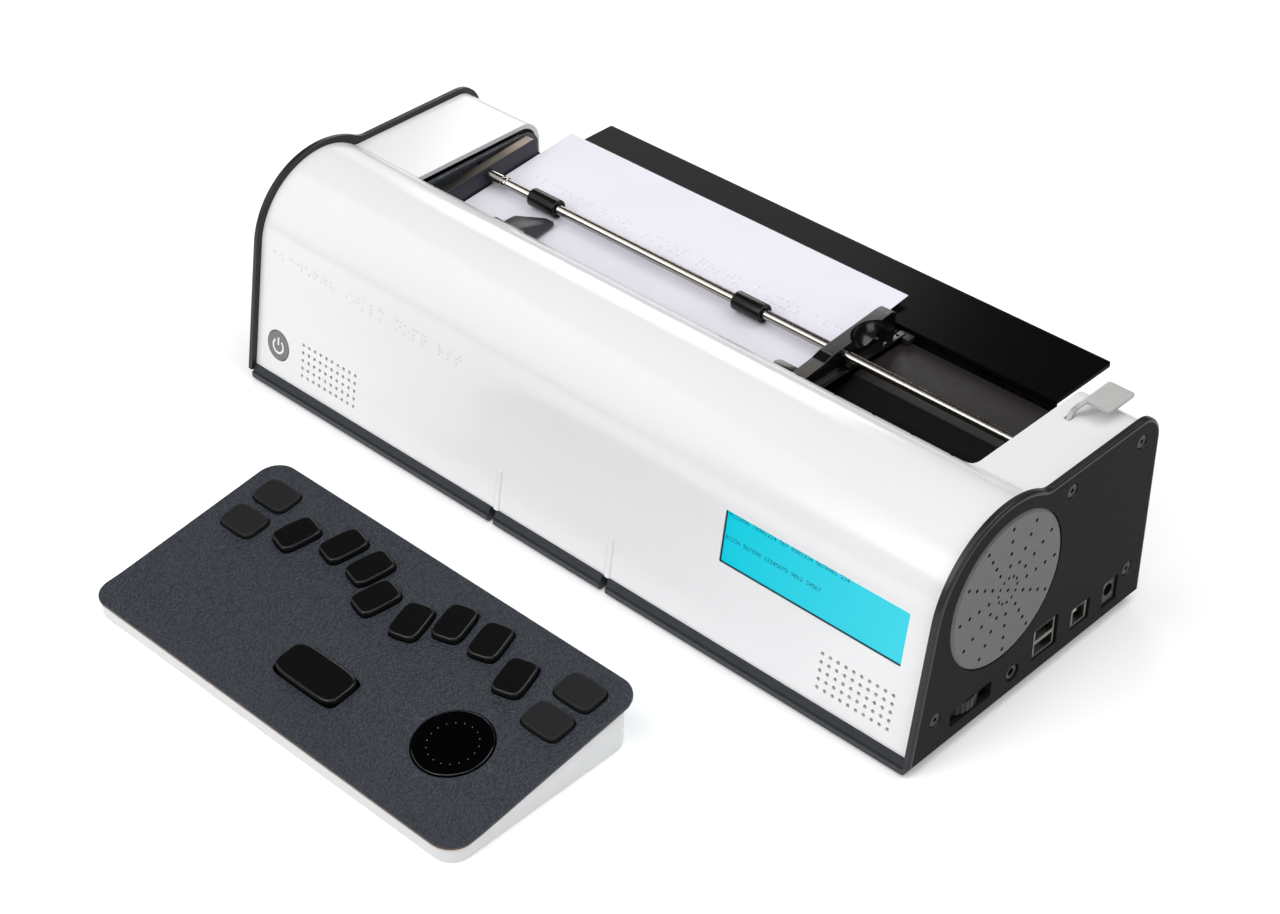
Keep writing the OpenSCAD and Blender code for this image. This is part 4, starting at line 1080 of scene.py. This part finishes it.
def build_lever():
    # strap: curved through the deck about the pivot, then up and over to the paddle
    path = []
    for d in (172, 164, 156, 148, 140, 132, 125):
        a = math.radians(d)
        path.append(((190.3, 12.5 * math.cos(a), 12.5 * math.sin(a)), (0, math.cos(a), math.sin(a))))
    path += [((190.75, -6.75, 11.5), (-.2, -.85, .45)), ((191.7, -6.8, 13.0), (-.3, -.9, .3)), ((192.7, -6.5, 14.35), (-.35, -.75, .55)),
             ((193.4, -5.8, 15.2), (-.25, -.5, .83)), ((193.85, -4.6, 15.6), (0, -.15, .99)), ((194.05, -2.6, 15.68), (0, 0, 1)), ((194.1, 0.5, 15.7), (0, 0, 1))]

    def mix(k, t, which):
        q = [Vector(path[min(max(k + o, 0), len(path) - 1)][which]) for o in (-1, 0, 1, 2)]
        return 0.5 * (2 * q[1] + (q[2] - q[0]) * t + (2 * q[0] - 5 * q[1] + 4 * q[2] - q[3]) * t * t + (3 * q[1] - q[0] - 3 * q[2] + q[3]) * t ** 3)
    fine = [(mix(k, t / 3.0, 0), mix(k, t / 3.0, 1)) for k in range(len(path) - 1) for t in range(3)]
    fine.append((Vector(path[-1][0]), Vector(path[-1][1])))
    rings = []
    for k, (c, n) in enumerate(fine):
        t = (fine[min(k + 1, len(fine) - 1)][0] - fine[max(k - 1, 0)][0]).normalized()
        n = (n - t * n.dot(t)).normalized()
        u = t.cross(n).normalized()
        rings.append([V(c.x + u.x * a + n.x * b, LEV_Y + c.y + u.y * a + n.y * b, LEV_Z + c.z + u.z * a + n.z * b) for a, b in rrect(2.5, 1.5, 0.42, 4)])
    vs, fs = loft(rings)
    put(obj_from("lever_strap", vs, fs, (M['lever'],), True, 40), "lever", "lever_grey", "release_lever")
    # spoke and hub inside the case
    sp = solid("lever_spoke", [prism_x([(LEV_Y, LEV_Z - 2.2), (LEV_Y - 12.4, LEV_Z + 1.7), (LEV_Y - 11.8, LEV_Z + 4.4), (LEV_Y, LEV_Z + 2.4)], 189.1, 191.5)], (M['lever'],), bevel=0.3, seg=2)
    hub = lathe("lever_hub", [(2.08, 0), (4.2, 0), (4.5, 0.3), (4.5, 4.1), (4.2, 4.4), (2.08, 4.4), (2.08, 0)], axis_x(189.0, LEV_Y, LEV_Z), (M['lever'],), seg=40)
    # paddle
    vs, fs = loft([[V(x, y, z) for x, y in rrect(14.1 - 2 * q, 19.2 - 2 * q, 1.5 - q * 0.4, 6, 199.75, 151.55)] for q, z in
                   ((0.5, 105.3), (0.15, 105.38), (0, 105.6), (0, 106.85), (0.1, 107.05), (0.35, 107.18), (0.7, 107.2))])
    pd = obj_from("lever_paddle", vs, fs, (M['lever'],), True, 30)
    for o in (sp, hub, pd):
        put(o, "lever", "lever_grey")


build_lever()

# ------------------------------------------------------------------ keyboard
DOTS = [(-72.2, 27.8), (-48.6, 36.1), (-27.9, 34), (-11.7, 22.8), (11.9, 22.8), (28.2, 34), (49, 36.1), (72.6, 27.9)]
FUNC = [(-100, 39.3), (-99.6, 18.9), (100.5, 39.5), (100.9, 19.3)]
SPACE = (1.1, -24.9)
NAV = (77.1, -14.1)
TURN = math.radians(14.5)


def bowed(w, h, cx, cy, rot, n=4.6, seg=64):
    """Key outline: a rounded rectangle whose sides bow out a little."""
    out = []
    c, s = math.cos(rot), math.sin(rot)
    for k in range(seg):
        t = 2 * math.pi * (k + 0.5) / seg
        u, v = math.cos(t), math.sin(t)
        x = w / 2 * math.copysign(abs(u) ** (2 / n), u)
        y = h / 2 * math.copysign(abs(v) ** (2 / n), v)
        out.append((cx + x * c - y * s, cy + x * s + y * c))
    return out


def key_mesh(name, w, h, cx, cy, rot, top, crown, mat):
    rings = []
    for q, z in ((0.35, -4.2), (0.0, -3.9), (0.0, top - 1.15), (0.04, top - 0.86), (0.14, top - 0.60), (0.30, top - 0.37), (0.52, top - 0.18), (0.80, top - 0.06),
                 (1.15, top), (1.8, top + crown * 0.2), (3.4, top + crown * 0.55), (5.2, top + crown * 0.9)):
        if 2 * q > min(w, h) - 1.0:
            break
        rings.append([KB_M @ Vector((x, y, z)) for x, y in bowed(w - 2 * q, h - 2 * q, cx, cy, rot, 4.6 - 0.12 * min(q, 4))])
    vs, fs = loft(rings)
    fs.pop()
    n = len(rings[0])
    b = (len(rings) - 1) * n
    vs.append(KB_M @ Vector((cx, cy, top + crown)))
    for i in range(n):
        fs.append((b + i, b + (i + 1) % n, len(vs) - 1))
    return obj_from(name, vs, fs, (mat,), True, 40)


def build_keys():
    for i, (x, y) in enumerate(DOTS):
        k = "key_dot_%d" % (i + 1)
        put(key_mesh("cap_" + k[4:], 15.0, 20.8, x, y, -TURN if i < 4 else TURN, 2.93, 0.07, M['key']), k, "key_gloss", k)
    for i, (x, y) in enumerate(FUNC):
        k = "key_func_%d" % (i + 1)
        put(key_mesh("cap_" + k[4:], 21.6, 15.8, x, y, 0, 2.1, 0.1, M['keym']), k, "key_matte", k)
    put(key_mesh("cap_space", 40.0, 19.4, SPACE[0], SPACE[1], 0, 2.93, 0.07, M['key']), "key_space", "key_gloss", "key_space")


build_keys()


def bend(y):
    """Front of the top plate turns up a little."""
    return 2.1 * (max(0.0, -36.0 - y) / 21.7) ** 2


def build_kb():
    rings = []
    for q, z in ((0.4, -2.2), (0.0, -1.95), (0.0, -0.85), (0.10, -0.5), (0.32, -0.22), (0.65, -0.06), (1.1, 0.0)):
        rings.append([KB_M @ Vector((x, y, z)) for x, y in rrect(KW - 2 * q, KD - 2 * q, KR - q, 14)])
    vs, fs = loft(rings)
    ob = obj_from("kb_plate", vs, fs, (M['slate'], M['slate_edge']), True, 35)
    cs = []
    for i, (x, y) in enumerate(DOTS):
        cs.append(prism_m(bowed(15.9, 21.7, x, y, -TURN if i < 4 else TURN), -6, 6, KB_M))
    for x, y in FUNC:
        cs.append(prism_m(bowed(22.5, 16.7, x, y, 0), -6, 6, KB_M))
    cs.append(prism_m(bowed(40.9, 20.3, SPACE[0], SPACE[1], 0, 7.0), -6, 6, KB_M))
    cs.append(prism_m([(NAV[0] + 18.7 * math.cos(a * math.pi / 48), NAV[1] + 18.7 * math.sin(a * math.pi / 48)) for a in range(96)], -6, 6, KB_M))
    cut(ob, cs, angle=35, bevel=0.25, bev_angle=50, seg=2)
    # more rows across the front, then the upturn
    bm = bmesh.new()
    bm.from_mesh(ob.data)
    back = KB_M.inverted()
    for k in range(9):
        y = -36.0 - 2.4 * k
        co, no = KB_M @ Vector((0, y, 0)), (KB_M.to_3x3() @ Vector((0, 1, 0))).normalized()
        bmesh.ops.bisect_plane(bm, geom=bm.verts[:] + bm.edges[:] + bm.faces[:], plane_co=co, plane_no=no, dist=1e-7)
    for v in bm.verts:
        q = back @ v.co
        b = bend(q.y)
        q.z += b
        q.y += 0.16 * b
        v.co = KB_M @ q
    bm.to_mesh(ob.data)
    bm.free()
    up = (KB_M.to_3x3() @ Vector((0, 0, 1))).normalized()
    for f in ob.data.polygons:
        f.material_index = 0 if f.normal.dot(up) > 0.45 else 1
    shade(ob.data, True, 35)
    wn(ob)
    put(ob, "keyboard", "kb_slate", "kb_top")
    # raised ticks that point to the navigation disc
    vs, fs = [], []
    for k in range(4):
        a = math.pi / 2 * k
        c, s = math.cos(a), math.sin(a)
        for sgn in (1, -1):
            b = len(vs)
            for u, v, z in ((19.3, sgn * 1.75, 0.02), (19.3, sgn * 1.35, 0.02), (19.3, sgn * 1.55, 0.16), (24.2, sgn * 0.35, 0.02), (24.2, sgn * 0.05, 0.02), (24.2, sgn * 0.2, 0.12)):
                vs.append(KB_M @ Vector((NAV[0] + u * c - v * s, NAV[1] + u * s + v * c, z - 0.03)))
            fs += [(b, b + 3, b + 5, b + 2), (b + 1, b + 2, b + 5, b + 4), (b, b + 1, b + 4, b + 3), (b, b + 2, b + 1), (b + 3, b + 4, b + 5)]
    put(obj_from("nav_ticks", vs, fs, (M['tick'],), False), "keyboard", "kb_slate")
    # white tub: vertical walls, rounded foot, sloping rim
    rings = []
    w, h = KW - 1.6, (KD - 1.6) * math.cos(TILT) - 4.0

    def ring(inset, zfun):
        return [V(KX + x, KY - 2.0 + y, zfun(y - 2.0)) for x, y in rrect(w - 2 * inset, h - 2 * inset, KR - 0.8 - inset, 14)]

    def rim(y):
        return KZ + y * math.tan(TILT) - 2.35 / math.cos(TILT) + bend(y / math.cos(TILT))
    rings.append(ring(1.7, lambda y: -5.5))
    rings.append(ring(1.15, lambda y: -5.42))
    rings.append(ring(0.8, lambda y: -5.1))
    rings.append(ring(0.6, lambda y: -4.5))
    rings.append(ring(0.5, lambda y: -3.4))
    rings.append(ring(0.25, lambda y: -1.0 + 0.5 * (rim(y) + 1.0)))
    rings.append(ring(0.0, lambda y: rim(y) - 0.35))
    rings.append(ring(0.12, lambda y: rim(y) - 0.08))
    rings.append(ring(0.5, rim))
    rings.append(ring(3.0, rim))
    rings.append(ring(3.1, lambda y: -2.9))
    vs, fs = loft(rings)
    ob = obj_from("kb_tub", vs, fs, (M['kbwhite'],), True, 40)
    put(ob, "keyboard", "kb_white", "kb_base")
    # strip at the seam between the plate and the tub, coloured warm as a painted reflection
    rings = [ring(-0.03, lambda y: rim(y) - 0.75), ring(-0.03, lambda y: rim(y) + 0.1), ring(1.6, lambda y: rim(y) + 0.1), ring(1.6, lambda y: rim(y) - 0.75)]
    rings.append(rings[0])
    vs, fs = loft(rings, cap0=False, cap1=False)
    put(obj_from("kb_seam_painted_reflection", vs, fs, (M['seam'],), True, 40), "keyboard", "kb_slate")


build_kb()


def build_nav():
    m = KB_M @ Matrix.Translation((NAV[0], NAV[1], 0))
    prof = [(0, -2.6), (17.6, -2.6), (18.0, -2.2), (18.0, 0.05), (17.97, 0.25), (17.88, 0.40), (17.72, 0.51), (17.45, 0.58), (17.0, 0.6), (15.7, 0.57), (14.9, 0.48), (13.9, 0.34),
            (12.9, 0.19), (12.2, 0.09), (11.7, 0.04), (9.5, 0.0), (6, -0.03), (3, -0.05), (0, -0.06)]
    put(lathe("nav_cap", prof, m, (M['nav'],), seg=128, angle=40), "nav", "nav_gloss", "nav_disc")
    lugs = [prism_m(rrect(4.4, 2.4, 0.5, 3, 0, q * 7.4), -7.1, -2.5, m) for q in (1, -1)]
    put(solid("nav_lugs", lugs, (M['nav'],), bevel=0.2, seg=2), "nav", "nav_gloss")
    ms = []
    for k in range(18):
        a = 2 * math.pi * (k + 0.5) / 18
        ms.append(m @ Matrix.Translation((11.5 * math.cos(a), 11.5 * math.sin(a), 0.02)))
    put(domes("nav_dots", ms, 0.24, 0.16, (M['navdot'],), 10), "nav", "nav_gloss")


build_nav()

# ------------------------------------------------------------------ socket details


def build_ports():
    parts = []
    for z in (9.3, 17.3):
        parts.append(boxv(203.2, 215.4, 88.6, 98.4, z + 3.4, z + 5.2))
    put(solid("usb_a_tongues", parts, (M['ivory'],), bevel=0.15, seg=1), "chassis", "connector_black")
    put(solid("usb_b_tongue", [boxv(204.2, 214.6, 117.0, 122.2, 12.2, 15.4)], (M['ivory'],), bevel=0.2, seg=1), "chassis", "connector_black")
    m = axis_x(213.2, 70.5, 10.5)
    put(lathe("jack_ring", [(1.82, 0), (3.3, 0.1), (3.6, 3.85), (3.3, 4.25), (2.4, 4.3), (1.9, 4.0), (1.82, 0)], m, (M['blackpl'],), seg=40), "chassis", "connector_metal")
    m = axis_x(204.6, 142.3, 13.6)
    put(lathe("dc_pin", [(0, 0), (0.95, 0), (0.95, 10.2), (0.6, 10.9), (0, 11)], m, (M['screw'],), seg=24), "chassis", "connector_metal")


build_ports()

# ------------------------------------------------------------------ stage, light, camera


def stage():
    me = bpy.data.meshes.new("floor")
    bm = bmesh.new()
    s = 6.0
    for x, y in ((-s, -s), (s, -s), (s, s), (-s, s)):
        bm.verts.new((x, y, 0.0))
    bm.faces.new(bm.verts)
    bm.to_mesh(me)
    bm.free()
    fl = link(bpy.data.objects.new("floor", me))
    fm = material('floor_pale', (0.95, 0.95, 0.952), 0.7, var=0.006, vscale=1.2, rvar=0.02, spec=0.1)
    pb = fm.node_tree.nodes['Principled BSDF']
    pb.inputs['Emission Color'].default_value = (1.0, 1.0, 1.0, 1.0)
    pb.inputs['Emission Strength'].default_value = 0.21
    me.materials.append(fm)
    w = bpy.data.worlds.new("world")
    SC.world = w
    w.use_nodes = True
    w.node_tree.nodes["Background"].inputs[0].default_value = (0.95, 0.97, 1.0, 1)
    w.node_tree.nodes["Background"].inputs[1].default_value = 0.01

    def area(name, loc, to, size, size_y, power, col=(1, 1, 1)):
        d = bpy.data.lights.new(name, 'AREA')
        d.shape = 'RECTANGLE'
        d.size, d.size_y, d.energy, d.color = size, size_y, power, col
        o = link(bpy.data.objects.new(name, d))
        o.location = loc
        o.rotation_euler = (Vector(to) - Vector(loc)).to_track_quat('-Z', 'Y').to_euler()
        return o
    def dome(name, az, el, power, size=0.75):
        a, e = math.radians(az), math.radians(el)
        loc = Vector((0, 0, 0.06)) + Vector((math.cos(e) * math.cos(a), math.cos(e) * math.sin(a), math.sin(e))) * 3.0
        area(name, loc, (0, 0, 0.06), size, size, power)
    dome("soft_key", 45, 60, 48.0, 2.4)
    dome("soft_top", 270, 66, 35.5, 2.2)
    dome("soft_front", 255, 35, 27.0, 1.5)
    dome("soft_wall", 215, 30, 20.5, 2.5)
    dome("soft_right", 340, 20, 15.5, 1.5)
    dome("soft_back_left", 144, 12, 4.5, 1.2)
    area("soft_window", (-1.018, 1.28, 0.785), (-1.018, 0.26, -0.035), 0.67, 0.85, 6.6)


stage()


def camera():
    c = bpy.data.cameras.new("cam")
    c.sensor_fit = 'HORIZONTAL'
    c.sensor_width = 36.0
    c.lens = 36.0 * 2585.44 / 1280.0
    c.clip_start = 0.05
    c.clip_end = 50
    o = link(bpy.data.objects.new("cam", c))
    fwd = Vector((-0.55600725, 0.57761401, -0.59767716)).normalized()
    right = Vector((0.72275588, 0.69108893, -0.00447544))
    right = (right - fwd * right.dot(fwd)).normalized()
    up = right.cross(fwd)
    o.matrix_world = Matrix(((right.x, up.x, -fwd.x, 0), (right.y, up.y, -fwd.y, 0), (right.z, up.z, -fwd.z, 0), (0, 0, 0, 1)))
    o.location = V(687.526, -649.617, 757.984)
    SC.camera = o


camera()
SC.view_settings.view_transform = 'Standard'

bpy.context.view_layer.update()
